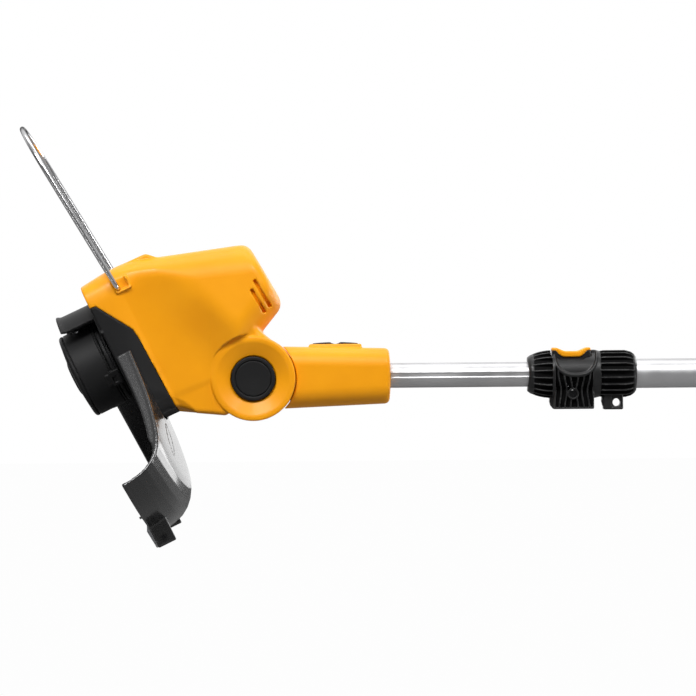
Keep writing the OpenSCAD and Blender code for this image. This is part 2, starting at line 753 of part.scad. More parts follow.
module aux_knob() color(black) in_shaft() translate([aux_x, 0, aux_pivot_z]) difference() {
  union() {
    y_cyl(9, -28, -22.8);
    y_cyl(16, -41, -28);
  }
  for (a = [0 : 60 : 300]) rotate([0, a, 0]) translate([18.5, 0, 0]) y_cyl(6, -50, -30);
  y_cyl(3.9 + run, -38.6, -20);
}

// ---------- rear handle ----------

module handle_outline(g) offset(r = 9 - g, $fn = 32) offset(delta = -9) polygon([
  [732, -19], [732, 19], [790, 21], [840, 29], [930, 25], [960, 30], [dock_x - 4, 36],
  [dock_x - 4, -76], [950, -83], [850, -80], [818, -66], [800, -34], [780, -22]
]);
module finger_hole(g) offset(r = 12 + g, $fn = 32) offset(delta = -12)
  polygon([[826, -24], [842, -19], [940, -19], [946, -58], [925, -64], [862, -63], [838, -52]]);

handle_bosses = [[772, -12], [812, -34], [905, 8], [964, -68], [968, 26]];
module handle_half(side) {
  far = side > 0;
  one_side(side) difference() {
    slab(2 * handle_half_w) handle_outline(0);
    slab(100) finger_hole(0);
    // hollow inside, round the bosses
    difference() {
      slab(2 * (handle_half_w - 3)) difference() {
        handle_outline(3);
        finger_hole(3);
      }
      for (b = handle_bosses) translate([b[0], 0, b[1]]) y_cyl(4, -30, 30);
      translate([720, -30, -30]) cube([70, 60, 60]);
    }
    x_cyl(upper_r, 700, upper_end + 1);
    // room for the trigger, the lock-off button and the battery's contacts
    translate([830, -8, -30]) cube([48, 16, 30]);
    translate([846, -7, 12]) cube([26, 14, 40]);
    translate([dock_x - 14, -13, -48]) cube([40, 26, 52]);
    translate([trigger_x, 0, trigger_z]) y_cyl(2, -12, 12);
    for (b = handle_bosses) translate([b[0], 0, b[1]]) {
      y_cyl(far ? 1.7 : thread_r, -12, 60);
      if (far) y_cyl(3.4, 12, 60);
    }
  }
  // ears that hold the trigger pin
  one_side(side) translate([trigger_x, 0, trigger_z]) difference() {
    y_cyl(5, side < 0 ? -16.2 : 8.3, side < 0 ? -8.3 : 16.2);
    y_cyl(2, -12, 12);
  }
}
module handle_near() color(orange) in_shaft() handle_half(-1);
module handle_far() color(black) in_shaft() handle_half(1);

module handle_screws() color(steel) in_shaft()
  for (b = handle_bosses) translate([b[0], 14, b[1]]) rotate([-90, 0, 0]) screw(24);

// Soft pad that is moulded over the top of the grip
module grip_pad() color(black) in_shaft() difference() {
  slab(2 * handle_half_w - 6) difference() {
    translate([0, 2.4]) handle_outline(0);
    handle_outline(0);
    translate([700, -200]) square([178, 400]);
    translate([948, -200]) square([178, 400]);
    translate([700, -200]) square([400, 205]);
  }
}

module switch() color(black) in_shaft() translate([884, -7, -9]) difference() {
  cube([26, 14, 13]);
  translate([-1, 4, 4]) cube([3, 6, 5]);
}

module trigger_pin() color(steel) in_shaft() translate([trigger_x, 0, trigger_z])
  y_cyl(1.95, -11.9, 11.9);

module trigger() color(black) in_shaft() difference() {
  slab(14) polygon([
    [trigger_x - 4, -4], [876, -5], [877, -15], [873, -26], [866, -33], [858, -37], [853, -36],
    [855, -30], [852, -25], [844, -21], [trigger_x - 4, -14]
  ]);
  translate([trigger_x, 0, trigger_z]) y_cyl(1.95 + run, -20, 20);
}

module lock_off() color(orange) in_shaft() slab(12) polygon([
  [848, 18], [848, 30], [851, 33], [855, 34], [866, 33.4], [870, 30], [870, 18]
]);

// ---------- battery ----------

rail_y = 24;
rail_top = 18;
pack_plan = [[-32, -70], [64, 94]];   // corner and size of the battery's outline inside its rounding
module pack_outline(r) offset(r = r, $fn = 32) translate(pack_plan[0]) square(pack_plan[1]);

module battery_dock() color(black) in_shaft() difference() {
  union() {
    translate([dock_x - 4, 0, 0]) rotate([90, 0, 90]) linear_extrude(4)
      offset(r = 6, $fn = 32) translate([-26, -66]) square([52, 88]);
    translate([dock_x - 12, -12, -46]) cube([12, 24, 48]);
    // guide rails with undercut edges
    for (s = [-1, 1]) {
      translate([dock_x - 1, s * rail_y - 2.5, -60]) cube([4, 5, rail_top + 60]);
      translate([dock_x + 3, s * rail_y - 5, -60]) cube([3, 10, rail_top + 60]);
    }
  }
  for (z = [-40 : 10 : 0]) translate([dock_x - 8, -8, z - 3]) cube([30, 16, 4]);
}

module battery_case() color(black) in_shaft() difference() {
  translate([dock_x + 1, 0, 0]) rotate([90, 0, 90]) linear_extrude(36) pack_outline(6);
  // grooves for the rails, open below, so that the battery lifts off
  for (s = [-1, 1], t = [[0, 2.5], [3 - gap, 5]])
    translate([dock_x + t[0], s * rail_y - t[1] - gap, -120])
      cube([3 + 2 * gap, 2 * t[1] + 2 * gap, 120 + rail_top + gap]);
  translate([dock_x + 9, -33, -73.2]) cube([40, 66, 91.6]);
  translate([dock_x + 14, -9.5, 21.5]) cube([14, 19, 20]);
}

module battery_lid() color(grey) in_shaft() translate([dock_x + 37.05, 0, 0]) rotate([90, 0, 90])
  difference() {
    linear_extrude(24) pack_outline(6);
    translate([0, 0, -1]) linear_extrude(22) pack_outline(3);
  }

cell_r = 9;
cell_half_l = 32.5;
module battery_cells() color([0.25, 0.45, 0.7]) in_shaft()
  for (i = [0 : 4], j = [0, 1])
    translate([dock_x + 19 + j * 18.4, 0, -63.8 + i * 18.2]) y_cyl(cell_r, -cell_half_l, cell_half_l);

module battery_latch() color(orange) in_shaft() translate([dock_x + 15, -9, 0])
  rotate([90, 0, 90]) linear_extrude(12)
    polygon([[0, 24.6], [18, 24.6], [18, 32], [15, 34], [3, 34], [0, 32]]);

head_shell_near();
head_shell_far();
base_cover();
guard();
guard_screws();
line_cutter();
motor_can();
motor_endcap();
motor_bracket();
motor_screws();
shaft_bearings();
head_screws();
hinge_axle();
axle_cap();
tilt_spring();
tilt_button();
wire_guard();
rotor_shaft();
rotor_core();
fan();
spool_hub();
spool_cap();
line_eyelets();
feed_spring();
bump_knob();
spool_reel();
line_coil();
socket_near();
socket_far();
socket_screws();
rocker_pin();
swivel_rocker();
lower_tube();
swivel_bush();
tube_plug();
upper_tube();
glide_bush();
coupler_near();
coupler_far();
coupler_screw();
lock_yoke();
lock_springs();
aux_clamp();
aux_handle();
aux_grip();
aux_bolt();
aux_knob();
handle_near();
handle_far();
handle_screws();
grip_pad();
switch();
trigger_pin();
trigger();
lock_off();
battery_dock();
battery_case();
battery_lid();
battery_cells();
battery_latch();
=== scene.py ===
"""String trimmer: the looks. Every moulded piece is drawn as a distance field and meshed here."""

import functools
import json
import math

import bpy
import numpy as np
from mathutils import Matrix, Vector


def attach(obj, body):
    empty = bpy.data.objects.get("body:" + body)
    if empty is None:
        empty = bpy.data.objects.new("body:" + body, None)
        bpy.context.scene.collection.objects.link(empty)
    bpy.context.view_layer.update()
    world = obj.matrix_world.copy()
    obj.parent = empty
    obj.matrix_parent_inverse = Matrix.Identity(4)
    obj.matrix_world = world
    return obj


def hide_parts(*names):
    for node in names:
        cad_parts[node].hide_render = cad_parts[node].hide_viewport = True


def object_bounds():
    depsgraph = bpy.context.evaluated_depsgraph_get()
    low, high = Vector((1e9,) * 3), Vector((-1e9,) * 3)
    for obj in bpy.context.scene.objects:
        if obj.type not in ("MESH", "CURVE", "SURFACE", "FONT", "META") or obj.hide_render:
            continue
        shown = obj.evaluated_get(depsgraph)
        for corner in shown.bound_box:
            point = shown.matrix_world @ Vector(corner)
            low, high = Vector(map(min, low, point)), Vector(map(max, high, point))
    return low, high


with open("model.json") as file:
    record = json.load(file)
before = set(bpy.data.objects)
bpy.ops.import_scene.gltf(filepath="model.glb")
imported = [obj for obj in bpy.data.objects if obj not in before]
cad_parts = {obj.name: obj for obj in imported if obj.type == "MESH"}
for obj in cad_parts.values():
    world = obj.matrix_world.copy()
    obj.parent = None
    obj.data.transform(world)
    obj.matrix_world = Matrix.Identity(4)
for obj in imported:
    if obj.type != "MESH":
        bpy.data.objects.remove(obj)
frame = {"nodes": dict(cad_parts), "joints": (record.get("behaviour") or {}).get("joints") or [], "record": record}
cad_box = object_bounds()

# ---- frames
# Shapes are drawn in millimetres, in the shaft's frame or in the head's, and placed with these.

MM = 0.001
JOINTS = {j["name"]: j for j in frame["joints"]}


def joint_point(name):
    return Vector(JOINTS[name]["pos_m"])


hinge = joint_point("head_tilt")
HINGE_DROP = 1.5  # the tilt hinge lies this far under the shaft axis
SHAFT = Matrix.Translation(hinge + Vector((0, 0, HINGE_DROP * MM))) @ Matrix.Scale(MM, 4)

spin_axis = Vector(JOINTS["spool_spin"]["axis"]).normalized()
spool_point = joint_point("spool_spin")
SPOOL_POINT_Z = 10.0  # height of that point above the spool's face
head_origin = spool_point - spin_axis * SPOOL_POINT_Z * MM
HEAD = Matrix.Translation(head_origin) @ Matrix.Rotation(
    math.atan2(spin_axis.x, spin_axis.z), 4, "Y"
) @ Matrix.Scale(MM, 4)
HINGE_X, _, HINGE_Z = HEAD.inverted() @ hinge  # the hinge in the head's frame
HEAD_BODIES = ("head", "spool", "bump", "tilt_button", "wire")

# ---- camera, light and floor

CAMERA_DISTANCE = 3.4
CAMERA_AT = Vector((-0.2381, -CAMERA_DISTANCE, 0.0502))
VIEW_WIDTH = 0.6194  # width of the view at the object
CAMERA_ROLL = math.radians(-0.5)


def make_camera():
    data = bpy.data.cameras.new("camera")
    data.sensor_width = 36
    data.lens = data.sensor_width * CAMERA_DISTANCE / VIEW_WIDTH
    data.clip_end = 50
    camera = bpy.data.objects.new("camera", data)
    bpy.context.scene.collection.objects.link(camera)
    camera.matrix_world = (
        Matrix.Translation(CAMERA_AT)
        @ Matrix.Rotation(math.radians(90), 4, "X")
        @ Matrix.Rotation(CAMERA_ROLL, 4, "Z")
    )
    bpy.context.scene.camera = camera


def area_light(name, at, target, size, power):
    data = bpy.data.lights.new(name, "AREA")
    data.shape = "RECTANGLE"
    data.size, data.size_y = size
    data.energy = power
    light = bpy.data.objects.new(name, data)
    bpy.context.scene.collection.objects.link(light)
    light.location = at
    aim = Vector(target) - Vector(at)
    light.rotation_euler = aim.to_track_quat("-Z", "Y").to_euler()


def add_node(tree, kind, **values):
    """A shader node with constants on the sockets named, where _ stands for a space."""
    node = tree.nodes.new("ShaderNode" + kind)
    for name, value in values.items():
        node.inputs[name.replace("_", " ")].default_value = value
    return node


def ramp(tree, value, low, high, out_low=0.0, out_high=1.0):
    node = add_node(tree, "MapRange", From_Min=low, From_Max=high, To_Min=out_low, To_Max=out_high)
    tree.links.new(value, node.inputs["Value"])
    return node.outputs["Result"]


def camera_only(tree, seen, lit):
    """Shows one shader to the camera and another to the object's own reflections and light."""
    mix = add_node(tree, "MixShader")
    path = add_node(tree, "LightPath")
    tree.links.new(path.outputs["Is Camera Ray"], mix.inputs["Fac"])
    tree.links.new(lit.outputs[0], mix.inputs[1])
    tree.links.new(seen.outputs[0], mix.inputs[2])
    return mix.outputs[0]


def make_world():
    """A white sweep behind the object, with soft light from above and less from below."""
    world = bpy.data.worlds.new("studio")
    bpy.context.scene.world = world
    world.use_nodes = True
    tree = world.node_tree
    tree.nodes.clear()
    out = add_node(tree, "OutputWorld")
    seen = add_node(tree, "Background", Color=(1, 1, 1, 1))
    lit = add_node(tree, "Background")
    direction = add_node(tree, "TexCoord").outputs["Generated"]
    split = add_node(tree, "SeparateXYZ")
    tree.links.new(direction, split.inputs[0])
    above = ramp(tree, split.outputs["Z"], -0.1, 0.9, 0.0, 0.5)
    behind = ramp(tree, split.outputs["Y"], 0.15, 0.95, 0.06, 1.5)
    total = add_node(tree, "Math")
    total.operation = "ADD"
    tree.links.new(above, total.inputs[0])
    tree.links.new(behind, total.inputs[1])
    tree.links.new(total.outputs[0], lit.inputs["Strength"])
    tree.links.new(camera_only(tree, seen, lit), out.inputs["Surface"])


FLOOR_DROP = 0.34  # from the object's lowest point
FLOOR_HALF = 14


def make_floor():
    low = cad_box[0][2] - FLOOR_DROP
    size = FLOOR_HALF
    mesh = bpy.data.meshes.new("floor")
    mesh.from_pydata(
        [(-size, -size, low), (size, -size, low), (size, size, low), (-size, size, low)],
        [],
        [(0, 1, 2, 3)],
    )
    floor = bpy.data.objects.new("floor", mesh)
    bpy.context.scene.collection.objects.link(floor)
    material = bpy.data.materials.new("floor")
    material.use_nodes = True
    tree = material.node_tree
    tree.nodes.remove(tree.nodes["Principled BSDF"])
    seen = add_node(tree, "Emission", Color=(0.985, 0.985, 0.985, 1))
    lit = add_node(tree, "BsdfDiffuse", Color=(0.2, 0.2, 0.2, 1))
    tree.links.new(camera_only(tree, seen, lit), tree.nodes["Material Output"].inputs["Surface"])
    floor.data.materials.append(material)


make_camera()
make_world()
make_floor()
area_light("key", (-1.0, -2.1, 2.1), (-0.3, 0, 0), (1.2, 0.9), 58)
area_light("key_right", (1.2, -2.0, 2.2), (0.1, 0, 0), (1.2, 0.9), 38)
area_light("top", (-0.1, 0.3, 2.4), (-0.1, 0, 0), (3.0, 1.0), 20)
area_light("side", (1.9, 0.1, -0.4), (-0.35, 0, -0.05), (0.9, 1.3), 30)
area_light("low", (-1.5, -1.6, -0.9), (-0.4, 0, 0), (1.0, 1.0), 26)
area_light("rim", (1.45, 1.55, 0.3), (-0.4, 0, 0), (1.2, 1.2), 15)
bpy.context.scene.view_settings.view_transform = "Standard"

# ---- materials


def noise(tree, coords, scale, detail=2.0, rough=0.5):
    node = add_node(tree, "TexNoise", Scale=scale, Detail=detail, Roughness=rough)
    tree.links.new(coords, node.inputs["Vector"])
    return node.outputs["Fac"]


def mixed(tree, factor, a, b):
    node = add_node(tree, "Mix")
    node.data_type = "RGBA"
    tree.links.new(factor, node.inputs["Factor"])
    for socket, value in ((node.inputs["A"], a), (node.inputs["B"], b)):
        if isinstance(value, tuple):
            socket.default_value = (*value, 1)
        else:
            tree.links.new(value, socket)
    return node.outputs["Result"]


def bumps(tree, layers):
    """Bump nodes in a chain; each layer is a height, a strength and a distance in metres."""
    normal = None
    for height, strength, distance in layers:
        node = add_node(tree, "Bump", Strength=strength, Distance=distance)
        tree.links.new(height, node.inputs["Height"])
        if normal:
            tree.links.new(normal, node.inputs["Normal"])
        normal = node.outputs["Normal"]
    return normal


MATERIALS = {}


def new_material(name):
    material = bpy.data.materials.new(name)
    material.use_nodes = True
    MATERIALS[name] = material
    tree = material.node_tree
    shader = tree.nodes["Principled BSDF"]
    coords = add_node(tree, "TexCoord").outputs["Object"]
    return tree, shader, coords


def plastic(name, color, rough, grain=0.25, grain_size=0.5, coat=0.0, worn=None, wave=0.15, shine=0.5):
    """Moulded plastic: spark-eroded grain, slow waviness, faint tone drift and rubbed edges.

    grain_size is in millimetres, worn is the colour of rubbed edges, shine the specular level.
    """
    tree, shader, coords = new_material(name)
    drift = noise(tree, coords, 22, 3)
    fine = noise(tree, coords, 1000 / grain_size, 2)
    slow = noise(tree, coords, 60, 2)
    light = tuple(min(1, c * 1.05 + 0.002) for c in color)
    dark = tuple(c * 0.93 for c in color)
    tone = mixed(tree, ramp(tree, drift, 0.3, 0.7), dark, light)
    tree.links.new(tone, shader.inputs["Base Color"])
    if worn:
        edges = add_node(tree, "NewGeometry").outputs["Pointiness"]
        rub = add_node(tree, "Math")
        rub.operation = "MULTIPLY"
        tree.links.new(ramp(tree, edges, 0.52, 0.62), rub.inputs[0])
        tree.links.new(ramp(tree, noise(tree, coords, 130, 3), 0.45, 0.7), rub.inputs[1])
        tree.links.new(mixed(tree, rub.outputs[0], tone, worn), shader.inputs["Base Color"])
    tree.links.new(ramp(tree, fine, 0.3, 0.7, rough - 0.04, rough + 0.05), shader.inputs["Roughness"])
    normal = bumps(tree, [(slow, wave, 0.0004), (fine, grain, 0.00004)])
    tree.links.new(normal, shader.inputs["Normal"])
    shader.inputs["Specular IOR Level"].default_value = shine
    shader.inputs["Coat Weight"].default_value = coat
    shader.inputs["Coat Roughness"].default_value = 0.12


def metal(name, color, rough, along=None, strength=0.12, streak=900, edge=1.0):
    """Bare metal: drawn or brushed lines along one axis, smudges and a slow colour drift.

    edge is how bright the metal stays where it is seen at a glancing angle.
    """
    tree, shader, coords = new_material(name)
    stretch = add_node(tree, "Mapping")
    scale = [1.0, 1.0, 1.0]
    if along is not None:
        scale[along] = 0.02
    stretch.inputs["Scale"].default_value = scale
    tree.links.new(coords, stretch.inputs["Vector"])
    lines = noise(tree, stretch.outputs["Vector"], streak, 2)
    smudge = noise(tree, coords, 35, 3)
    dark = tuple(c * 0.95 for c in color)
    light = tuple(min(1, c * 1.03) for c in color)
    tone = mixed(tree, ramp(tree, smudge, 0.35, 0.65), dark, light)
    tree.links.new(tone, shader.inputs["Base Color"])
    shader.inputs["Metallic"].default_value = 1.0
    shader.inputs["Specular Tint"].default_value = (edge, edge, edge, 1)
    tree.links.new(ramp(tree, smudge, 0.3, 0.7, rough * 0.85, rough * 1.2), shader.inputs["Roughness"])
    tree.links.new(bumps(tree, [(lines, strength, 0.00002)]), shader.inputs["Normal"])


YELLOW = (1.0, 0.375, 0.0)
plastic("shell_yellow", YELLOW, 0.42, 0.10, 0.6, coat=0.06, worn=(1.0, 0.5, 0.06), shine=0.3)
plastic("black_plastic", (0.0085, 0.0085, 0.009), 0.52, 0.35, 0.5, worn=(0.05, 0.05, 0.05), shine=0.24)
plastic("gloss_black", (0.016, 0.016, 0.0165), 0.27, 0.02, 0.6, coat=0.7, wave=0.03)
plastic("coupler_black", (0.012, 0.012, 0.0125), 0.36, 0.15, 0.5, worn=(0.12, 0.12, 0.12), shine=0.4)
metal("tube_aluminium", (0.68, 0.68, 0.69), 0.42, along=0, strength=0.05, edge=0.55)
metal("chromed_wire", (0.86, 0.86, 0.87), 0.16, strength=0.0, streak=300, edge=0.05)
metal("bright_steel", (0.62, 0.63, 0.65), 0.22, along=0)
metal("brushed_steel", (0.55, 0.56, 0.58), 0.3, along=2, strength=0.2)
metal("zinc_steel", (0.6, 0.59, 0.55), 0.34)
metal("black_steel", (0.05, 0.05, 0.052), 0.35)
# near-black painted shade for the floors of the coupler's deep grooves, darker than the black plastic round them
plastic("groove_painted_shade", (0.0022, 0.0022, 0.0024), 0.7, 0.4, 0.5, shine=0.08)
plastic("grey_nylon", (0.16, 0.16, 0.165), 0.5, 0.2)
metal("copper_winding", (0.7, 0.3, 0.12), 0.35, along=2, strength=0.4, streak=1600)
plastic("grip_rubber", (0.018, 0.018, 0.018), 0.62, 0.6, 0.7)
plastic("cutting_line", (0.85, 0.16, 0.02), 0.3, 0.1, coat=0.2)
plastic("cell_wrap", (0.03, 0.12, 0.4), 0.25, 0.1, coat=0.5)
SLOT_OF = {row["node"]: row["material_slot"] for row in frame["record"]["subparts"]}
SLOT_OF["guard_screws"] = "black_steel"


def paint(piece, slot):
    piece.data.materials.clear()
    piece.data.materials.append(MATERIALS[slot])


for node_name, node in frame["nodes"].items():
    paint(node, SLOT_OF[node_name])

# ---- distance fields


def smooth_min(a, b, k):
    h = np.clip(0.5 + 0.5 * (b - a) / k, 0, 1)
    return b + (a - b) * h - k * h * (1 - h)


def smooth_max(a, b, k):
    return -smooth_min(-a, -b, k)


def union(*fields):
    """What is in any of the fields, with sharp edges."""
    return functools.reduce(np.minimum, fields)


def common(*fields):
    """What is in all of the fields, with sharp edges."""
    return functools.reduce(np.maximum, fields)


def cut(a, b, k):
    """a without b, with an edge rounded over k."""
    return smooth_max(a, -b, k)


def norm(*parts):
    """Length of a vector, from its two or three parts."""
    return np.sqrt(sum(p**2 for p in parts))


def corner_of(a, b, r):
    """Where two flat sides meet in a corner of radius r; a and b are measured from its centre."""
    return norm(np.maximum(a, 0), np.maximum(b, 0)) + np.minimum(np.maximum(a, b), 0) - r


def rotated(x, y, degrees):
    """Coordinates along and across a direction in the plane."""
    c, s = math.cos(math.radians(degrees)), math.sin(math.radians(degrees))
    return c * x + s * y, -s * x + c * y


def rounded_box(x, y, z, center, half, r):
    q = [np.abs(p - c) - (h - r) for p, c, h in zip((x, y, z), center, half)]
    outside = np.sqrt(sum(np.maximum(v, 0) ** 2 for v in q))
    inside = np.minimum(np.maximum(np.maximum(q[0], q[1]), q[2]), 0)
    return outside + inside - r


def extruded(flat, across, half, r=1.0):
    """A flat outline's distance, pulled out to half each way, with rounded rims."""
    return corner_of(flat + r, np.abs(across) - half + r, r)


def ring_box(r, z, center, half, rounding):
    """A ring about the Z axis, with a rounded rectangle for its section."""
    a, b = (np.abs(p - c) - (h - rounding) for p, c, h in zip((r, z), center, half))
    return corner_of(a, b, rounding)


def side_of(u, v, p, q):
    """Distance from the line through p and q, positive on the right of the way from p to q."""
    du, dv = q[0] - p[0], q[1] - p[1]
    length = math.hypot(du, dv)
    return ((u - p[0]) * dv - (v - p[1]) * du) / length


def polyline(u, v, points, closed=False):
    """Distance to a line of points; inside a closed outline it is negative."""
    best, winding = None, False
    count = len(points)
    for i in range(count if closed else count - 1):
        (au, av), (bu, bv) = points[i], points[(i + 1) % count]
        eu, ev = bu - au, bv - av
        t = np.clip(((u - au) * eu + (v - av) * ev) / (eu * eu + ev * ev), 0, 1)
        d = (u - au - t * eu) ** 2 + (v - av - t * ev) ** 2
        best = d if best is None else np.minimum(best, d)
        if closed:
            crosses = (av > v) != (bv > v)
            at = au + (v - av) / (ev if ev else 1e-9) * eu
            winding = winding ^ (crosses & (u < at))
    best = np.sqrt(best)
    return np.where(winding, -best, best) if closed else best


def filled(u, v, points):
    """Distance to a closed outline, negative inside it."""
    return polyline(u, v, points, closed=True)


def step(value, low, high):
    """0 below low, 1 above high, and a smooth rise between."""
    t = np.clip((value - low) / (high - low), 0, 1)
    return t * t * (3 - 2 * t)


def capsule(x, y, z, a, b, r):
    ax, ay, az = a
    ex, ey, ez = (q - p for p, q in zip(a, b))
    t = np.clip(((x - ax) * ex + (y - ay) * ey + (z - az) * ez) / (ex * ex + ey * ey + ez * ez), 0, 1)
    return norm(x - ax - t * ex, y - ay - t * ey, z - az - t * ez) - r


CORNERS = [(i, j, k) for i in (0, 1) for j in (0, 1) for k in (0, 1)]
EDGES = [(a, b) for a in range(8) for b in range(a + 1, 8) if bin(a ^ b).count("1") == 1]


def net(field, low, high, cell):
    """Vertices and quads of the field's zero surface, by surface nets, then moved onto the surface."""
    low = np.array(low, float)
    count = np.ceil((np.array(high, float) - low) / cell).astype(int) + 1
    axes = [low[i] + cell * np.arange(count[i]) for i in range(3)]
    grid = np.meshgrid(*axes, indexing="ij", sparse=True)
    f = np.array(np.broadcast_to(field(*grid), tuple(count)), np.float64)
    inside = f < 0
    n = count - 1
    total = sum(
        inside[i : i + n[0], j : j + n[1], k : k + n[2]].astype(np.int8) for i, j, k in CORNERS
    )
    cells = np.argwhere((total > 0) & (total < 8))
    index = -np.ones(tuple(n), np.int64)
    index[tuple(cells.T)] = np.arange(len(cells))
    values = [f[tuple((cells + np.array(c)).T)] for c in CORNERS]
    place = np.zeros((len(cells), 3))
    hits = np.zeros(len(cells))
    for a, b in EDGES:
        fa, fb = values[a], values[b]
        crossed = (fa < 0) != (fb < 0)
        t = np.where(crossed, fa / np.where(crossed, fa - fb, 1), 0)
        ca, cb = np.array(CORNERS[a], float), np.array(CORNERS[b], float)
        place += np.where(crossed[:, None], ca + t[:, None] * (cb - ca), 0)
        hits += crossed
    points = low + cell * (cells + place / hits[:, None])
    quads = []
    for axis in range(3):
        u, v = (axis + 1) % 3, (axis + 2) % 3
        near, far = [slice(None)] * 3, [slice(None)] * 3
        near[axis], far[axis] = slice(0, -1), slice(1, None)
        a, b = inside[tuple(near)], inside[tuple(far)]
        at = np.argwhere(a != b)
        at = at[(at[:, u] > 0) & (at[:, v] > 0) & (at[:, u] < n[u]) & (at[:, v] < n[v])]
        ring = []
        for du, dv in ((1, 1), (0, 1), (0, 0), (1, 0)):
            c = at.copy()
            c[:, u] -= du
            c[:, v] -= dv
            ring.append(index[tuple(c.T)])
        face = np.stack(ring, 1)
        outward = a[tuple(at.T)]
        face[~outward] = face[~outward][:, ::-1]
        quads.append(face)
    quads = np.concatenate(quads)
    e = 0.2 * cell
    for _ in range(4):
        x, y, z = points.T
        value = field(x, y, z)
        slope = np.stack(
            [
                field(x + e, y, z) - field(x - e, y, z),
                field(x, y + e, z) - field(x, y - e, z),
                field(x, y, z + e) - field(x, y, z - e),
            ],
            1,
        ) / (2 * e)
        size = np.maximum((slope**2).sum(1), 0.2)
        move = -(value / size)[:, None] * slope
        length = np.sqrt((move**2).sum(1))[:, None]
        points = points + move * np.minimum(1, 0.4 * cell / np.maximum(length, 1e-9))
    return points, quads


def add_mesh(name, points, faces, matrix, body, slot, nodes=(), smooth=True):
    """A piece from vertices in a frame's millimetres; it rides on body and stands for nodes."""
    m = np.array(matrix)
    placed = np.asarray(points, float) @ m[:3, :3].T + m[:3, 3]
    mesh = bpy.data.meshes.new(name)
    mesh.from_pydata(placed.tolist(), [], [tuple(map(int, q)) for q in faces])
    mesh.validate()
    mesh.polygons.foreach_set("use_smooth", [smooth] * len(mesh.polygons))
    mesh.update()
    piece = bpy.data.objects.new(name, mesh)
    bpy.context.scene.collection.objects.link(piece)
    paint(piece, slot)
    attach(piece, body)
    if nodes:
        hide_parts(*nodes)
    return piece


def moulded(name, field, low, high, cell, body, slot, nodes=(), deep=None):
    """A piece from a field; deep is a function that is negative where the faces take the near-black painted shade
    of groove floors.
    """
    points, quads = net(field, low, high, cell)
    matrix = HEAD if body in HEAD_BODIES else SHAFT
    piece = add_mesh(name, points, quads, matrix, body, slot, nodes)
    if deep:
        points = np.asarray(points, float)
        corners = points[np.asarray(quads, int)].mean(axis=1)
        # second material: painted shade on the faces where deep is negative
        piece.data.materials.append(MATERIALS["groove_painted_shade"])
        index = (deep(*corners.T) < 0).astype(int)
        piece.data.polygons.foreach_set("material_index", index)
    return piece


def moulded_halves(name, node, field_of, low, high, lap, cell, body, slot, deep=None):
    """The near and far halves of a shell; each field is meshed to lap past the middle plane."""
    for side, label in ((-1, "near"), (1, "far")):
        first, last = (low[1], lap) if side < 0 else (-lap, high[1])
        moulded(
            f"{name}_{label}", field_of(side), (low[0], first, low[2]), (high[0], last, high[2]),
            cell, body, slot, [f"{node}_{label}"], deep,
        )


def turned(name, profile, matrix, body, slot, nodes=(), sides=96, wobble=None):
    """A profile of (radius, height) points turned about the frame's Z axis.

    wobble is a function of angle, radius and height that gives a change of the radius.
    """
    angles = [2 * math.pi * i / sides for i in range(sides)]
    points, faces = [], []
    for a in angles:
        for r, z in profile:
            dr = wobble(a, r, z) if wobble else 0
            points.append(((r + dr) * math.cos(a), (r + dr) * math.sin(a), z))
    count = len(profile)
    for i in range(sides):
        j = (i + 1) % sides
        for k in range(count - 1):
            faces.append((i * count + k, j * count + k, j * count + k + 1, i * count + k + 1))
    return add_mesh(name, points, faces, matrix, body, slot, nodes)


# ---- head

FOOT_Z = 36.0
FOOT_FRONT, FOOT_REAR = -70.0, 68.0
FLANK = 47.6  # half the width of the head at its foot
EAR_R, EAR_IN, EAR_OUT = 37.4, 17.0, 31.0
SEAM = 0.12  # half the gap between two mouldings
BASE_LINE = [
    (-48.2, 20), (-48.2, 35), (-47.4, 41.6), (-15.2, 61.7), (-6.4, 62.9), (67.4, 64.9), (95, 65.3),
    (95, 20),
]


def foot_outline(x, y, grow=0.0):
    """The foot's outline from below: a rectangle with large corners."""
    corner = 26.0
    qx = np.abs(x - (FOOT_FRONT + FOOT_REAR) / 2) - (FOOT_REAR - FOOT_FRONT) / 2 + corner
    qy = np.abs(y) - FLANK + corner
    return corner_of(qx, qy, corner) - grow


def cone_front(z):
    return -64.5 + 0.321 * (z - 106.4)


def motor_housing(x, y, z):
    """Flat-sided with wide round corners, narrowing to a rounded, slightly tilted end."""
    front = cone_front(z)
    rear = np.minimum(34.6 - 0.468 * (z - 166.6), 56)
    middle, half = (front + rear) / 2, (rear - front) / 2
    half_w = np.minimum(FLANK, FLANK - 0.19 * (z - 104))
    corner = np.clip(27 + 0.05 * (z - 120), 24, 30)
    qx, qy = np.abs(x - middle) - half + corner, np.abs(y) - half_w + corner
    wall = corner_of(qx, qy, corner)
    end = (z - 187.4) - 0.068 * (x + 5)
    return smooth_max(wall * 0.93, end, 9)


def hinge_distance(x, z):
    return norm(x - HINGE_X, z - HINGE_Z)


# the shaft's direction, seen from the head
FORWARD = (math.cos(math.radians(64)), math.sin(math.radians(64)))


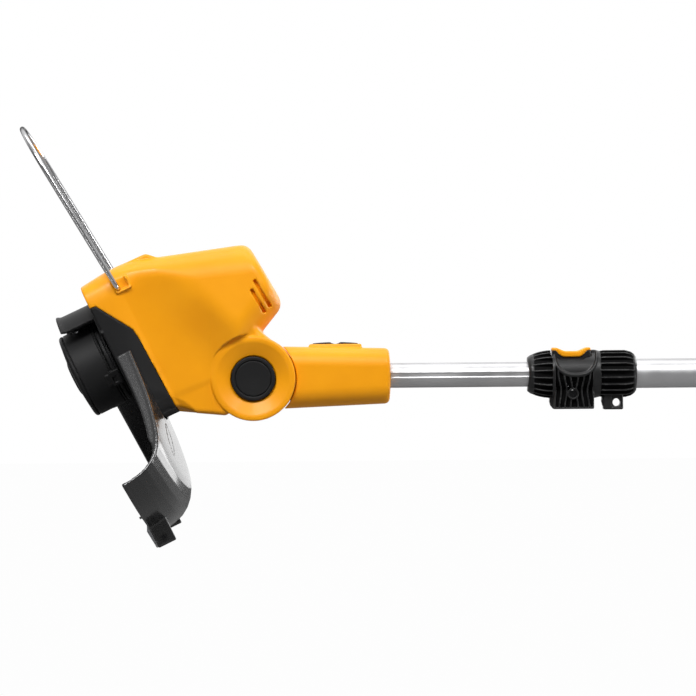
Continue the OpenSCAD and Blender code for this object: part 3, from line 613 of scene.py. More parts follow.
def head_outer(x, y, z):
    """The whole outer form of the head, before it is split into shells and base."""
    side = np.abs(y)
    d = hinge_distance(x, z)
    toward = FORWARD[0] * x + FORWARD[1] * z
    drop = np.clip((toward - 22) * 0.195, 0, 18.6) * np.clip((z - 42) / 26, 0, 1)
    flank = (side - FLANK + drop) * 0.93
    # flank: from the foot back to the hinge, under a slanting top edge
    top = -side_of(x, z, (-11.3, 138.9), (63.5, 173.2))
    top = cut(top, side_of(x, z, (-39.1, 121), (-11.3, 138.9)), 3)
    top = cut(top, side_of(x, z, (-55.4, 96.3), (-39.1, 121)), 6)
    front = cut(cone_front(z) - x, side_of(x, z, (-73.2, 66.2), (-69.9, 101)), 1)
    rear = np.where(z < 65, x - 67.8, side_of(x, z, (67.6, 65), (89.5, 101)))
    past = side_of(x, z, (89.5, 101), (63.5, 173.2))
    wedge = smooth_max(smooth_max(top, rear, 2), smooth_max(past, front, 2), 2)
    wedge = smooth_max(wedge, flank, 5)
    boss = smooth_max(d - EAR_R + 1.4, side - 28, 1.5)
    wedge = smooth_min(wedge, boss, 2)
    # housing: the cone with flat flanks
    above = -side_of(x, z, (-67, 99), (34, 166))
    housing = smooth_max(motor_housing(x, y, z), side - FLANK + drop * (1 - step(above, -66, 30)), 3.2)
    housing = smooth_max(housing, rear, 3)
    body = smooth_min(wedge, housing, 3.5)
    body = smooth_max(body, front, 2.5)
    # raised pad down the front, which ends in a slanting step
    pad = cut(side - 27 - 3 * step(z, 60, 75), side_of(x, z, (-73.6, 66.2), (-70.2, 101)), 2.2)
    pad = cut(pad, side_of(x, z, (-70.2, 101), (-64.4, 106.8)), 1.5)
    pad = smooth_max(pad, x + 50, 2)
    body = smooth_min(body, pad, 1.2)
    # the nose leans back below, rounds off in plan, and the underside is flat
    body = cut(body, side_of(x, z, (-69.4, 37.4), (-73.6, 66.2)), 2.5)
    grow = 3.0 + 8 * step(z, 80, 130) + 40 * step(x, -10, 40) * step(z, 60, 66)
    body = smooth_max(body, foot_outline(x, y, grow), 5)
    body = smooth_max(body, FOOT_Z - z, 1.5)
    # hollow low on the rear of each flank
    leaf = norm((x - 80) / 28, (z - 58) / 21)
    return body + 11 * np.clip(1 - leaf, 0, 1) * np.clip((side - 12) / 10, 0, 1)


def ear_disc(x, y, z):
    """A raised disc on each side of the hinge."""
    side = np.abs(y)
    disc = smooth_max(hinge_distance(x, z) - EAR_R, side - EAR_OUT, 1.8)
    return smooth_max(disc, EAR_IN - side, 0.4)


def ear_room(x, y, z):
    """What is open in front of a disc: its conical dish and the well of its button."""
    d, side = hinge_distance(x, z), np.abs(y)
    dish = smooth_max((25.4 - side + (d - 20.5) * 0.44) * 0.91, d - 33.6, 0.8)
    well = smooth_max(d - 20.0, 20 - side, 0.3)
    beyond = smooth_max(d - EAR_R - 2, EAR_OUT - side, 0.1)
    return union(dish, well, beyond)


VENTS = [((-5.6, 176.5), (19.6, 178.2)), ((0.6, 170.5), (21.8, 171.8))]


def head_cuts(x, y, z, body):
    d = hinge_distance(x, z)
    side = np.abs(y)
    inner = smooth_max(d - 34, side - EAR_IN, 0.3)
    body = cut(body, inner, 0.5)
    # the way that the socket's web sweeps
    along = Vector((math.sin(math.radians(26)), math.cos(math.radians(26))))
    u = (x - HINGE_X) * along.x + (z - HINGE_Z) * along.y
    v = (x - HINGE_X) * along.y - (z - HINGE_Z) * along.x
    sweep = common(-(u * 0.77 + v * 0.64), -(v * 0.21 + u * 0.98))
    sweep = common(smooth_max(sweep, side - EAR_IN, 0.3), d - 60)
    body = cut(body, sweep, 0.5)
    for a, b in VENTS:
        line = polyline(x, z, [a, b])
        slot = common(line - 1.4, 12 - side, -(body + 4))
        body = cut(body, slot, 0.7)
    return body


PIVOT_X, PIVOT_Z = -53.0, 66.0


def wire_pocket(x, y, z, body):
    """A recess in each shoulder where a leg of the wire turns, with a raised lip."""
    side = np.abs(y)
    lip = rounded_box(x, side, z, (-54.8, 42.5, 70.2), (6.0, 6.1, 7.4), 1.2)
    room = rounded_box(x, side, z, (-56.4, 50.6, 70.2), (5.6, 6.2, 5.4), 0.9)
    folded = rounded_box(x, side, z, (-53.0, 52.6, 73), (3.2, 5.0, 8), 0.6)
    body = smooth_min(body, lip, 0.8)
    return cut(body, union(room, folded), 0.6)


def shell_field(side):
    def field(x, y, z):
        body = smooth_min(head_outer(x, y, z), ear_disc(x, y, z), 0.6)
        body = cut(body, ear_room(x, y, z), 0.8)
        body = wire_pocket(x, y, z, body)
        body = head_cuts(x, y, z, body)
        body = cut(body, filled(x, z, BASE_LINE) - SEAM, 0.5)
        return smooth_max(body, -side * y + 0.03, 0.35)

    return field


moulded_halves(
    "shell", "head_shell", shell_field, (-78, -50, 33), (112, 50, 192), 2, 1.1, "head",
    "shell_yellow",
)


def base_field(x, y, z):
    body = head_outer(x, y, z) + 0.25
    zone = filled(x, z, BASE_LINE) + SEAM
    foot = smooth_max(body, zone, 0.6)
    floor = smooth_max(foot_outline(x, y, -3.0), np.abs(z - 37.6) - 1.6, 0.5)
    foot = union(foot, floor)
    r = norm(x, y)
    hole = smooth_max(r - 12, z - 60, 0.3)
    foot = cut(foot, hole, 0.6)
    foot = union(foot, ring_box(r, z, (36.2, 37.0), (5.4, 1.6), 0.4))
    # bumper wall in front of the spool, with an outward lip
    turn = np.arctan2(np.abs(y), -x)
    wall_r = 52.9 - 0.02 * z + 1.5 * np.exp(-(((z - 3.8) / 2.2) ** 2))
    wall = smooth_max(np.abs(r - wall_r) - 1.45, np.abs(z - 20) - 17.2, 0.8)
    wall = smooth_max(wall, (turn - math.radians(43)) * 52, 1.0)
    shelf = smooth_max(np.abs(r - 49) - 5, np.abs(z - 36) - 1.5, 0.5)
    shelf = smooth_max(shelf, (turn - math.radians(64)) * 50, 0.8)
    return union(foot, wall, shelf)


moulded(
    "base_foot", base_field, (-76, -50, 1), (72, 50, 68), 1.0, "head", "black_plastic",
    ["base_cover"],
)

# ---- guard

SKIRT_R = 157.0
GUARD_T = 2.6
GUARD_LINE = [
    (0, 53.4), (66, 53.1), (86, 52.5), (96, 51.9), (107, 50.7), (117, 48.9), (126, 46.4),
    (134, 43.0), (141, 38.6), (147, 32.8), (151.6, 25.6), (154.4, 17), (156.0, 7), (156.8, -2),
    (156.9, -30), (0, -30),
]
EDGE_A, EDGE_B = (1.0, 51.5), (106.0, 117.5)
GUARD_FALL = 0.035  # how much the guard falls towards its sides


def guard_field(x, y, z):
    r, side = norm(x, y), np.abs(y)
    dome = filled(r, z + GUARD_FALL * side, GUARD_LINE)
    facet = z - 52.6 + 0.125 * (x - 84) + 0.10 * (side - 8)
    dome = smooth_max(dome, facet, 2.5)
    body = np.abs(dome + GUARD_T / 2) - GUARD_T / 2
    body = common(body, -3 - z)
    outside = -side_of(x, side, EDGE_A, EDGE_B)
    # lips under the two straight edges: a shallow one on the near side, a deep wall on the far
    depth = np.where(x < 77, 13.4 - 0.06 * x, 8.8 - 0.55 * (x - 77))
    strip = np.abs(outside + GUARD_T / 2) - GUARD_T / 2
    low = np.where(y < 0, -depth - dome, 12 - z)
    lip = smooth_max(smooth_max(strip, dome, 0.5), low, 0.8)
    lip = smooth_max(lip, r - 152.0, 0.8)
    body = smooth_min(body, lip, 1.4)
    # rim of the skirt
    rim = ring_box(r, z, (SKIRT_R - 2.2, -1.0), (1.9, 1.7), 0.9)
    body = smooth_min(body, rim, 0.8)
    # stiffening ribs underneath
    for degrees in (-26, 0, 26):
        _, across = rotated(x, y, degrees)
        rib = smooth_max(np.abs(across) - 1.0, dome + 1, 0.4)
        rib = smooth_max(rib, -dome - 6.5, 0.4)
        rib = smooth_max(rib, common(74 - r, r - SKIRT_R + 5), 0.4)
        body = smooth_min(body, rib, 0.8)
    body = smooth_max(body, outside, 0.9)
    body = smooth_max(body, -x + 0.4, 0.6)
    # collar that hugs the foot
    around = foot_outline(x, y)
    collar = smooth_max(np.abs(around - 1.8) - 1.3, np.abs(z - 45.6) - 5.8, 0.8)
    collar = smooth_max(collar, -x + 0.4, 0.6)
    body = smooth_min(body, collar, 1.2)
    body = cut(body, around - 0.45, 0.3)
    # fin that carries the line cutter, and a small stop rib
    fin = rounded_box(x, y, z, (153.5, -52.5, 5.8), (13.5, 1.6, 8.8), 1.3)
    stop = rounded_box(x, y, z, (153.6, 20.2, 13.5), (3.8, 1.2, 7.4), 0.8)
    body = smooth_min(body, union(fin, stop), 0.8)
    slot = rounded_box(x, y, z, (151, -49.5, 3), (17, 0.95, 11), 0.3)
    body = cut(body, slot, 0.3)
    # a leaf shape is outlined by a fine groove on each side of the top
    leaf = common(norm(x - 76, side - 62) - 24, norm(x - 96, side - 36) - 24)
    groove = common(np.abs(leaf) - 0.45, np.abs(dome) - 0.7)
    return cut(body, groove, 0.4)


moulded(
    "guard_shield", guard_field, (-3, -121, -6), (170, 121, 58), 1.1, "head", "gloss_black",
    ["guard"],
)

# ---- spool

CAP_R = 38.5
CAP_H = 28.5


def cap_field(x, y, z):
    cap_outline = [
        (0, -5.8), (17, -5.7), (24, -5.0), (36.4, -3.4), (37.6, -2.9), (CAP_R, -1.6), (CAP_R, 27.4),
        (CAP_R - 1, CAP_H), (0, CAP_H),
    ]
    r = norm(x, y)
    outer = filled(r, z, cap_outline)
    inner = smooth_max(r - 35.6, 4.5 - z, 0.5)
    body = cut(outer, inner, 0.5)
    body = cut(body, r - 17.4, 0.6)
    for groove_z in (0.6, 26.6):
        groove = common(np.abs(z - groove_z) - 0.4, CAP_R - 0.9 - r)
        body = cut(body, groove, 0.3)
    # finger hollows around the rim's face
    turn = np.mod(np.arctan2(y, x), math.pi / 4) - math.pi / 8
    hollow = np.sqrt((r - 31) ** 2 + (turn * 31) ** 2 * 0.4 + (z + 6.2) ** 2) - 2.6
    body = cut(body, hollow, 0.6)
    notch = rounded_box(*rotated(x, y, 200), z, (39, 0, 25), (3.2, 0.8, 8), 0.3)
    body = cut(body, notch, 0.3)
    for degrees in (20, 200):
        along, across = rotated(x, y, degrees)
        hole = common(norm(across, z - 15) - 3.0, -along)
        body = cut(body, hole, 0.4)
    for degrees in (-66, 114):
        along, across = rotated(x, y, degrees)
        lug = rounded_box(along, across, z, (38.0, 0, 29.7), (2.0, 7, 4.6), 0.7)
        pad = rounded_box(along, across, z, (37.6, 0, 24.5), (1.7, 5.5, 4), 0.7)
        window = rounded_box(along, across, z, (40.2, 1.2, 28.4), (1.0, 2.8, 2.0), 0.4)
        body = cut(union(body, lug, pad), window, 0.4)
    return body


moulded(
    "cap_shell", cap_field, (-42, -42, -7), (42, 42, 36), 0.75, "spool", "black_plastic",
    ["spool_cap"],
)


KNOB_LINE = [
    (0, -7.4), (8, -7.3), (13.5, -6.9), (15.8, -6.2), (17, -5.0), (17, 4), (10, 4), (10, 7.4), (0, 7.4),
]


def knob_field(x, y, z):
    r = norm(x, y)
    dome = filled(r, z, KNOB_LINE)
    turn = np.mod(np.arctan2(y, x), math.pi / 4) - math.pi / 8
    flute = norm(r - 17.8, turn * 17.5) - 2.2
    body = cut(dome, common(flute, z + 3.4), 0.6)
    ring = common(np.abs(r - 9) - 0.5, np.abs(z + 7.4) - 0.8)
    bore = common(r - 4.6, -1 - z)
    return cut(cut(body, ring, 0.4), bore, 0.4)


moulded(
    "knob_dome", knob_field, (-19, -19, -10), (19, 19, 9), 0.7, "bump", "black_plastic",
    ["bump_knob"],
)


def hub_field(x, y, z):
    r = norm(x, y)
    disc = extruded(r - 36.5, z - 32.75, 1.75, 0.6)
    collar = extruded(r - 6, z - 29.5, 5.5, 0.4)
    skirt = ring_box(r, z, (36.7, 30.4), (0.8, 1.7), 0.3)
    body = union(disc, collar, skirt)
    for degrees in range(0, 360, 45):
        window = rounded_box(*rotated(x, y, degrees), z, (22, 0, 33), (7, 3.4, 4), 1.2)
        body = cut(body, window, 0.4)
    return cut(body, r - 2.5, 0.2)


moulded(
    "hub_disc", hub_field, (-38, -38, 23), (38, 38, 36), 0.8, "spool", "black_plastic",
    ["spool_hub"],
)


def wound_line():
    """The cutting line as it lies on the reel: layers of turns."""
    line_r, pitch, layer_pitch = 1.2, 2.25, 2.15
    first_z, last_z, first_r = 10.6, 22.2, 15.0
    points, faces = [], []
    sides, steps = 10, 72
    for layer in range(6):
        for turn in range(6):
            z0 = first_z + pitch * turn + (0.5 * pitch if layer % 2 else 0)
            radius = first_r + layer * layer_pitch
            if z0 > last_z:
                continue
            first = len(points)
            for i in range(steps):
                a = 2 * math.pi * i / steps
                for k in range(sides):
                    b = 2 * math.pi * k / sides
                    rr = radius + line_r * math.cos(b)
                    points.append((rr * math.cos(a), rr * math.sin(a), z0 + line_r * math.sin(b)))
            for i in range(steps):
                here, there = first + i * sides, first + (i + 1) % steps * sides
                for k in range(sides):
                    m = (k + 1) % sides
                    faces.append((here + k, there + k, there + m, here + m))
    add_mesh("wound_line", points, faces, HEAD, "bump", "cutting_line", ["line_coil"])


wound_line()

# ---- hinge button and wire


def button_field(sign, inner):
    def field(x, y, z):
        d = hinge_distance(x, z)
        u = sign * y
        body = extruded(d - 19.6, u - (28.4 + inner) / 2, (28.4 - inner) / 2, 1.0)
        face = smooth_max(d - 15.4, 28.0 - u - 0.035 * (15 - d), 0.4)
        body = cut(body, face, 0.4)
        ring = common(np.abs(d - 15.9) - 0.45, 27.2 - u)
        return cut(body, ring, 0.3)

    return field


for name, sign, inner, low_y, high_y, body, node in (
    ("button_cap", -1, 23.8, -30, -22, "tilt_button", "tilt_button"),
    ("axle_cover", 1, 20.3, 19, 30, "head", "axle_cap"),
):
    moulded(
        name, button_field(sign, inner), (HINGE_X - 21, low_y, HINGE_Z - 21),
        (HINGE_X + 21, high_y, HINGE_Z + 21), 0.6, body, "black_plastic", [node],
    )


def tube_along(name, path, radius, matrix, body, slot, nodes=(), sides=20):
    """A round bar along a path of points, closed at its ends by domes."""
    p = [Vector(q) for q in path]
    points, faces = [], []
    normal = None
    rings = []
    for i, at in enumerate(p):
        along = (p[min(i + 1, len(p) - 1)] - p[max(i - 1, 0)]).normalized()
        if normal is None:
            normal = along.orthogonal().normalized()
        normal = (normal - along * normal.dot(along)).normalized()
        across = along.cross(normal)
        stops = [(0, 1)]
        if i == 0:
            stops = [(-0.95, 0.3), (-0.7, 0.71), (-0.35, 0.94), (0, 1)]
        if i == len(p) - 1:
            stops = [(0, 1), (0.35, 0.94), (0.7, 0.71), (0.95, 0.3)]
        for shift, scale in stops:
            first = len(points)
            for k in range(sides):
                a = 2 * math.pi * k / sides
                spoke = normal * math.cos(a) + across * math.sin(a)
                points.append(at + along * shift * radius + spoke * radius * scale)
            rings.append(first)
    for a, b in zip(rings, rings[1:]):
        for k in range(sides):
            m = (k + 1) % sides
            faces.append((a + k, a + m, b + m, b + k))
    faces.append(tuple(rings[0] + k for k in reversed(range(sides))))
    faces.append(tuple(rings[-1] + k for k in range(sides)))
    return add_mesh(name, points, faces, matrix, body, slot, nodes)


def arc(center, radius, start, end, count, place):
    """Points on an arc between two angles in degrees, each put through place."""
    out = []
    for i in range(count + 1):
        a = math.radians(start + (end - start) * i / count)
        out.append(place(center[0] + radius * math.cos(a), center[1] + radius * math.sin(a)))
    return out


def wire_bail():
    """A round loop on two legs, whose feet turn inwards to the pivots."""
    leg_y, reach, wire_r, dip = 50.4, 169.5, 2.3, math.radians(5)
    foot = leg_y - 11.4
    bend, straight = 5.0, reach - wire_r - leg_y

    def place(u, v):
        return (PIVOT_X - u * math.cos(dip), v, PIVOT_Z - u * math.sin(dip))

    path = [place(0, -foot)]
    path += arc((bend, -leg_y + bend), bend, 180, 270, 6, place)
    path += arc((straight, 0), leg_y, -90, 90, 48, place)
    path += arc((bend, leg_y - bend), bend, 90, 180, 6, place)
    path.append(place(0, foot))
    tube_along("wire_bail", path, wire_r, HEAD, "wire", "chromed_wire", ["wire_guard"])


wire_bail()

# ---- socket


ROCKER_X = 72.5


def socket_outer(x, y, z):
    """A rounded rectangle that narrows away from the hinge."""
    t = np.clip((x - 10) / 112, 0, 1)
    top, bottom = 27.0 - 2.6 * t, -29.2 + 4.6 * t
    width = 26.5 - 2.2 * t
    corner = 17.0
    qy = np.abs(y) - width + corner
    qz = np.abs(z - (top + bottom) / 2) - (top - bottom) / 2 + corner
    return smooth_max(corner_of(qy, qz, corner), x - 121.5 + 0.0025 * z**2, 4.5)


def hinge_at_shaft(x, z):
    return norm(x, z + HINGE_DROP)


def socket_field(side):
    def field(x, y, z):
        d = hinge_at_shaft(x, z)
        body = cut(socket_outer(x, y, z), d - 38.1, 0.9)
        body = common(body, 6 - x)
        wide = np.abs(y)
        barrel = smooth_max(d - 33.4, wide - 16.4, 0.8)
        barrel = cut(barrel, smooth_max(smooth_max(d - 29, 13 - d, 0.5), 4 - wide, 0.5), 0.6)
        barrel = cut(barrel, d - 6.05, 0.2)
        web = rounded_box(x, y, z, (33, 0, -2), (12, 13, 19), 2)
        web = smooth_max(web, 31 - d, 0.5)
        lip = rounded_box(x, y, z, (72.6, 0, 25.0), (23.4, 9.6, 3.6), 1.6)
        body = smooth_min(body, lip, 1.5)
        body = union(body, barrel, web)
        well = rounded_box(x, y, z, (ROCKER_X, 0, 32), (21.1, 7.5, 10), 1.0)
        body = cut(body, well, 0.6)
        bore = smooth_max(norm(y, z) - 11.35, 60 - x, 0.3)
        body = cut(body, bore, 0.9)
        return smooth_max(body, -side * y + 0.03, 0.3)

    return field


moulded_halves(
    "socket_shell", "socket", socket_field, (-35, -28, -37), (123, 28, 31), 1.5, 1.0, "socket",
    "shell_yellow",
)


def rocker_field(x, y, z):
    top = 30.2 - 0.0042 * (x - ROCKER_X) ** 2 * 0.6
    body = smooth_max(z - top, 23.2 + 0.004 * (x - ROCKER_X) ** 2 - z, 0.5)
    body = smooth_max(body, np.abs(x - ROCKER_X) - 20.2, 1.0)
    body = smooth_max(body, np.abs(y) - 6.9, 0.9)
    dip = norm(x - ROCKER_X, z - 35.2) - 6.6
    body = cut(body, dip, 0.8)
    for k in (-15, -12, -9, 9, 12, 15):
        groove = common(np.abs(x - ROCKER_X - k) - 0.5, top - 0.7 - z, np.abs(y) - 5.2)
        body = cut(body, groove, 0.4)
    pin = norm(x - ROCKER_X, z - 25.4) - 1.5
    return cut(body, pin, 0.2)


moulded(
    "rocker_key", rocker_field, (51, -8, 21.5), (94, 8, 32), 0.55, "rocker", "black_plastic",
    ["swivel_rocker"],
)

# ---- tubes


def shaft_tube(name, radius, wall, start, end, body, node, groove=0.0, bevel=0.5):
    """A drawn tube with a bevelled rim; groove lets a shallow channel into each side."""
    inner, lip, steps = radius - wall, bevel * 0.6, 24
    profile = [(inner, start + bevel), (inner + lip, start)]
    profile += [(radius - lip, start), (radius, start + bevel)]
    for i in range(1, steps + 1):
        profile.append((radius, start + bevel + (end - start - 2 * bevel) * i / steps))
    profile += [(radius - lip, end), (inner + lip, end), (inner, end - bevel)]
    profile.append(profile[0])

    def wobble(a, r, z):
        if not groove or r < radius - 0.1:
            return 0
        off = min(abs(a - math.pi / 2), abs(a - 3 * math.pi / 2)) * radius
        return -groove * max(0.0, 1 - (off / 2.2) ** 4)

    along_x = SHAFT @ Matrix.Rotation(math.radians(90), 4, "Y")
    return turned(name, profile, along_x, body, "tube_aluminium", [node], sides=192, wobble=wobble)


shaft_tube("inner_tube", 11.0, 1.3, 72, 480, "lower_shaft", "lower_tube", groove=0.7)
shaft_tube("outer_tube", 13.0, 1.3, 305, 760, "shaft", "upper_tube")

# ---- coupler

LEFT_BARREL = [(246, 17.2), (250, 19.0), (254, 20.2), (258, 21.0), (262, 21.5)]
RIGHT_BARREL = [(311, 21.2), (330, 21.2), (335, 19.8), (338, 17.6)]
COUPLER_LINE = [
    (243, 0), (243, 15.0), *LEFT_BARREL, (303, 21.5), (307, 20.5), *RIGHT_BARREL, (339.8, 15.0), (340, 0),
]
YOKE_X, SADDLE_X, BLOCK_X = 283.0, 282.0, 284.0
SCREW_Z = -17.5
SCREW_ROOM = 5.2  # the smooth patch round the screw's boss


def saddle_half_w(x):
    """Half the width of the release button: wide in the middle, narrow at its horns."""
    return 14.3 - 2.6 * step(np.abs(x - SADDLE_X), 9.0, 14.5)


def coupler_flank(z):
    """Half the width of the coupler's middle at a height."""
    barrel = np.sqrt(np.maximum(21.5**2 - z**2, 0))
    return np.where(z < 0, np.maximum(barrel, 16.2), barrel)


def coupler_painted_shade(x, y, z):
    """Negative on the floors of the grooves, where a near-black painted shade stands in for the shade that falls
    there.
    """
    r, side = norm(y, z), np.abs(y)
    barrel = np.interp(x, *zip(*LEFT_BARREL, *RIGHT_BARREL))
    ends = common(r - barrel + 0.75, union(x - 265.4, 307.6 - x))
    ends = common(ends, 12 - r, 246.2 - x, x - 338)
    middle = common(side - coupler_flank(z) + 0.75, np.abs(x - BLOCK_X) - 16.6)
    bowl = coupler_bowl(x, z)
    patch = SCREW_ROOM - norm(x - YOKE_X, z - SCREW_Z)
    middle = common(middle, 1.2 - bowl, 12 - side, patch)
    return union(ends, middle)


def coupler_bowl(x, z):
    """The outline of the thumb hollow, flatter below than an ellipse."""
    u, v = np.abs(x - 285.6) / 18.6, np.abs(z - 21) / 21.6
    return ((u**2.5 + v**2.5) ** 0.4 - 1) * 20


def coupler_body(x, y, z):
    """The coupler's grip: two ribbed barrels, and a block with a thumb hollow between them."""
    r, side = norm(y, z), np.abs(y)
    turn = np.arctan2(y, z)
    solid = filled(x, r, COUPLER_LINE)
    mouth = 244.2 - 2.2 * (z / 15.0) ** 2 - x
    solid = smooth_max(solid, mouth, 1.4)
    block = rounded_box(x, y, z, (283.8, 0, -15), (17.8, 16.2, 16), 1.2)
    solid = smooth_min(solid, block, 0.8)
    # barrels: deep grooves that leave narrow ribs
    count = 20
    phase = (np.mod(turn * count / (2 * math.pi) + 0.5, 1) - 0.5) * 2 * math.pi / count * r
    left = smooth_max(246.6 - x, x - 265.0, 1.0)
    right = smooth_max(308.0 - x, x - 337.4, 1.0)
    half = 0.40 * 2 * math.pi / count * r
    groove = smooth_max(np.abs(phase) - half, 17.6 - r, 0.9)
    grooves = common(groove, union(left, right))
    # block: upright ribs that wave and bow round the hollow
    bow = 0.055 * (x - BLOCK_X) * np.clip((z + 12) / 12, 0, 1.4)
    wave = 0.9 * np.sin((z + 8) / 4.6) * np.sign(x - BLOCK_X)
    pitch = 5.0
    local = np.mod(x - wave - bow - BLOCK_X + pitch / 2, pitch) - pitch / 2
    upright = smooth_max(np.abs(local) - 1.75, coupler_flank(z) - 3.2 - side, 0.8)
    bowl = coupler_bowl(x, z)
    frame_line = common(np.abs(x - BLOCK_X) - 16.4, 2.0 - bowl, -29.2 - z)
    ring = norm(x - YOKE_X, z - SCREW_Z)
    upright = common(upright, frame_line, SCREW_ROOM - ring)
    body = cut(solid, grooves, 0.7)
    body = cut(body, upright, 0.7)
    boss = common(ring - 4.9, side - 17.0)
    body = smooth_min(body, boss, 0.6)
    body = cut(body, common(ring - 3.6, 12.4 - side), 0.5)
    # thumb hollow with a narrow rim
    rim = common(np.abs(bowl - 0.4) - 0.8, solid - 0.5)
    body = smooth_min(body, common(rim, 6 - side), 0.5)
    hollow = smooth_max(bowl + 0.6, 19.4 - r, 1.2)
    return cut(body, common(hollow, 4 - side), 0.6)


def coupler_lug(x, y, z):
    lug = rounded_box(x, y, z, (319.15, 0, -23.5), (8.75, 8, 8.3), 1.4)
    body = lug
    for foot in (313.5, 267.2):
        back = [(3.6, -14), (4.6, -24), (3.6, -28), (1.2, -30.8)]
        web = [(foot, -31), (foot, -14)] + [(foot - u, v) for u, v in back]
        body = union(body, extruded(filled(x, z, web), y, 7.0, 0.8))
    hole = norm(x - 322, z + 25.4) - 3.5
    pocket = rounded_box(x, np.abs(y), z, (322, 8.4, -24.6), (4.6, 1.6, 5.4), 0.8)
    return cut(cut(body, pocket, 0.4), hole, 0.5)


def coupler_field(side):
    def field(x, y, z):
        r = norm(y, z)
        body = smooth_min(coupler_body(x, y, z), coupler_lug(x, y, z), 0.8)
        body = cut(body, common(r - 11.3, x - 304), 0.5)
        body = cut(body, common(r - 13.02, 303.2 - x), 0.4)
        for lift in (1.5, -2.0):
            ringed = norm(y, z - lift) - 17.3
            body = cut(body, common(ringed, np.abs(x - YOKE_X) - 15.6), 0.3)
        floor = 10.6 + 4.9 * step(np.abs(x - SADDLE_X), 6.0, 16.5)
        gate = common(np.abs(x - 281.8) - 17.8, np.abs(y) - saddle_half_w(x) - 0.5, floor - z)
        body = cut(body, gate, 0.6)
        for shift in (-10.5, 10.5):
            well = norm(x - YOKE_X - shift, y) - 4.4
            body = cut(body, common(well, np.abs(z + 21) - 8), 0.3)
        return smooth_max(body, -side * y + 0.02, 0.25)

    return field


moulded_halves(
    "coupler_shell", "coupler", coupler_field, (241, -23, -33), (342, 23, 23), 1, 0.62, "shaft",
    "coupler_black", deep=coupler_painted_shade,
)


def saddle_bottom(x):
    """The button's underside: it rises towards both horns."""
    return 15.2 + 4.9 * step(np.abs(x - SADDLE_X), 6.0, 16.5)


def saddle_field(x, y, z):
    """The yellow button: a bar that sags in the middle and turns up at both ends."""
    away = np.abs(x - SADDLE_X)
    top = 20.4 + 3.2 * step(away, 4.5, 15.0)
    key = smooth_max((z - top) * 0.93, (saddle_bottom(x) - z) * 0.93, 1.6)
    key = smooth_max(key, away - 17.2, 1.8)
    return smooth_max(key, np.abs(y) - saddle_half_w(x), 1.8)


def yoke_field(x, y, z):
    """The brake ring round the tube, and the neck that carries the button."""
    ringed = norm(y, z - 1.5) - 16.6
    body = common(ringed, np.abs(x - YOKE_X) - 15)
    neck = common(np.abs(x - SADDLE_X) - 16.6, np.abs(y) - 12.4, z - saddle_bottom(x) - 1.5)
    body = smooth_min(body, common(neck, 8 - z), 0.8)
    room = norm(y, np.clip(z, -60, 0), np.clip(z - 3.8, 0, 60)) - 11.35
    body = cut(body, room, 0.4)
    notch = common(np.abs(x - YOKE_X) - 4.3, z + 8)
    return cut(body, notch, 0.4)


moulded(
    "yoke_button", saddle_field, (263, -16, 13), (301, 16, 26), 0.5, "yoke", "shell_yellow",
    ["lock_yoke"],
)
moulded(
    "yoke_ring", yoke_field, (265, -18.5, -17), (300, 18.5, 23), 0.7, "yoke", "black_plastic",
    ["lock_yoke"],
)

# ---- auxiliary handle

AUX_X, AUX_PIVOT_Z, AUX_GRIP_Z = 590.0, 27.0, 126.0
LEG_R, LEG_BEND, LEG_LEAN = 8.0, 22.0, math.radians(46)
LEG_FOOT = (19.0, AUX_PIVOT_Z + 25)
LEG_LEN = (AUX_GRIP_Z - LEG_BEND * (1 + math.sin(LEG_LEAN)) - LEG_FOOT[1]) / math.cos(LEG_LEAN)
BEND_Y = LEG_FOOT[0] + LEG_LEN * math.sin(LEG_LEAN) - LEG_BEND * math.cos(LEG_LEAN)


def aux_arm_field(x, y, z):
    side, x = np.abs(y), x - AUX_X
    knuckle = extruded(norm(x, z - AUX_PIVOT_Z) - 14, side - 19, 3.4, 1.2)
    plate = rounded_box(x, side, z, (0, 19, 40), (9, 3.4, 13), 1.5)
    end = (LEG_FOOT[0] + LEG_LEN * math.sin(LEG_LEAN), LEG_FOOT[1] + LEG_LEN * math.cos(LEG_LEAN))
    leg = capsule(x, side, z, (0, *LEG_FOOT), (0, *end), LEG_R)
    # a quarter turn or so into the grip
    around = norm(side - BEND_Y, z - AUX_GRIP_Z + LEG_BEND)
    bend = norm(around - LEG_BEND, x) - LEG_R
    turn = np.arctan2(z - AUX_GRIP_Z + LEG_BEND, side - BEND_Y)
    bend = common(bend, common(-LEG_LEAN - 0.02 - turn, turn - math.pi / 2) * LEG_BEND)
    stub = common(norm(x, z - AUX_GRIP_Z) - LEG_R, side - BEND_Y, BEND_Y - 5 - side)
    body = smooth_min(smooth_min(knuckle, plate, 5), leg, 7)
    body = smooth_min(body, union(bend, stub), 1.0)
    # a shallow channel up the outside of each arm, and the bolt's hole
    rib = rounded_box(x, side, z, (0, 23.4, 40), (5.6, 1.6, 9), 0.8)
    body = cut(body, rib, 0.6)
    room = common(norm(x, z - AUX_PIVOT_Z) - 18.5, side - 15.6)
    hole = norm(x, z - AUX_PIVOT_Z) - 4
    return cut(cut(body, room, 0.3), hole, 0.5)


moulded(
    "aux_loop", aux_arm_field, (574, -72, 12), (606, 72, 136), 1.15, "aux_arm", "black_plastic",
    ["aux_handle"],
)


def aux_grip_profile():
    """Rubber sleeve: end collars, and soft waves between them."""
    collar = [(8.2, 0.5), (11.8, 0.5), (13.0, 1.6), (13.0, 4.4), (11.7, 5.8)]  # radius, way in
    out = [(r, -BEND_Y + inward) for r, inward in collar]
    steps = 48
    for i in range(steps + 1):
        t = -1 + 2 * i / steps
        wave = 0.55 * math.cos(t * 4 * math.pi) * (1 - abs(t) ** 6)
        out.append((12.2 + wave, t * (BEND_Y - 7)))
    out += [(r, BEND_Y - inward) for r, inward in reversed(collar)]
    out.append(out[0])
    return out


def sleeve_ridges(a, r, z):
    """Fine lengthwise ridges on the collars and the crests of the waves."""
    return 0.16 * math.cos(40 * a) * (r > 12.3)


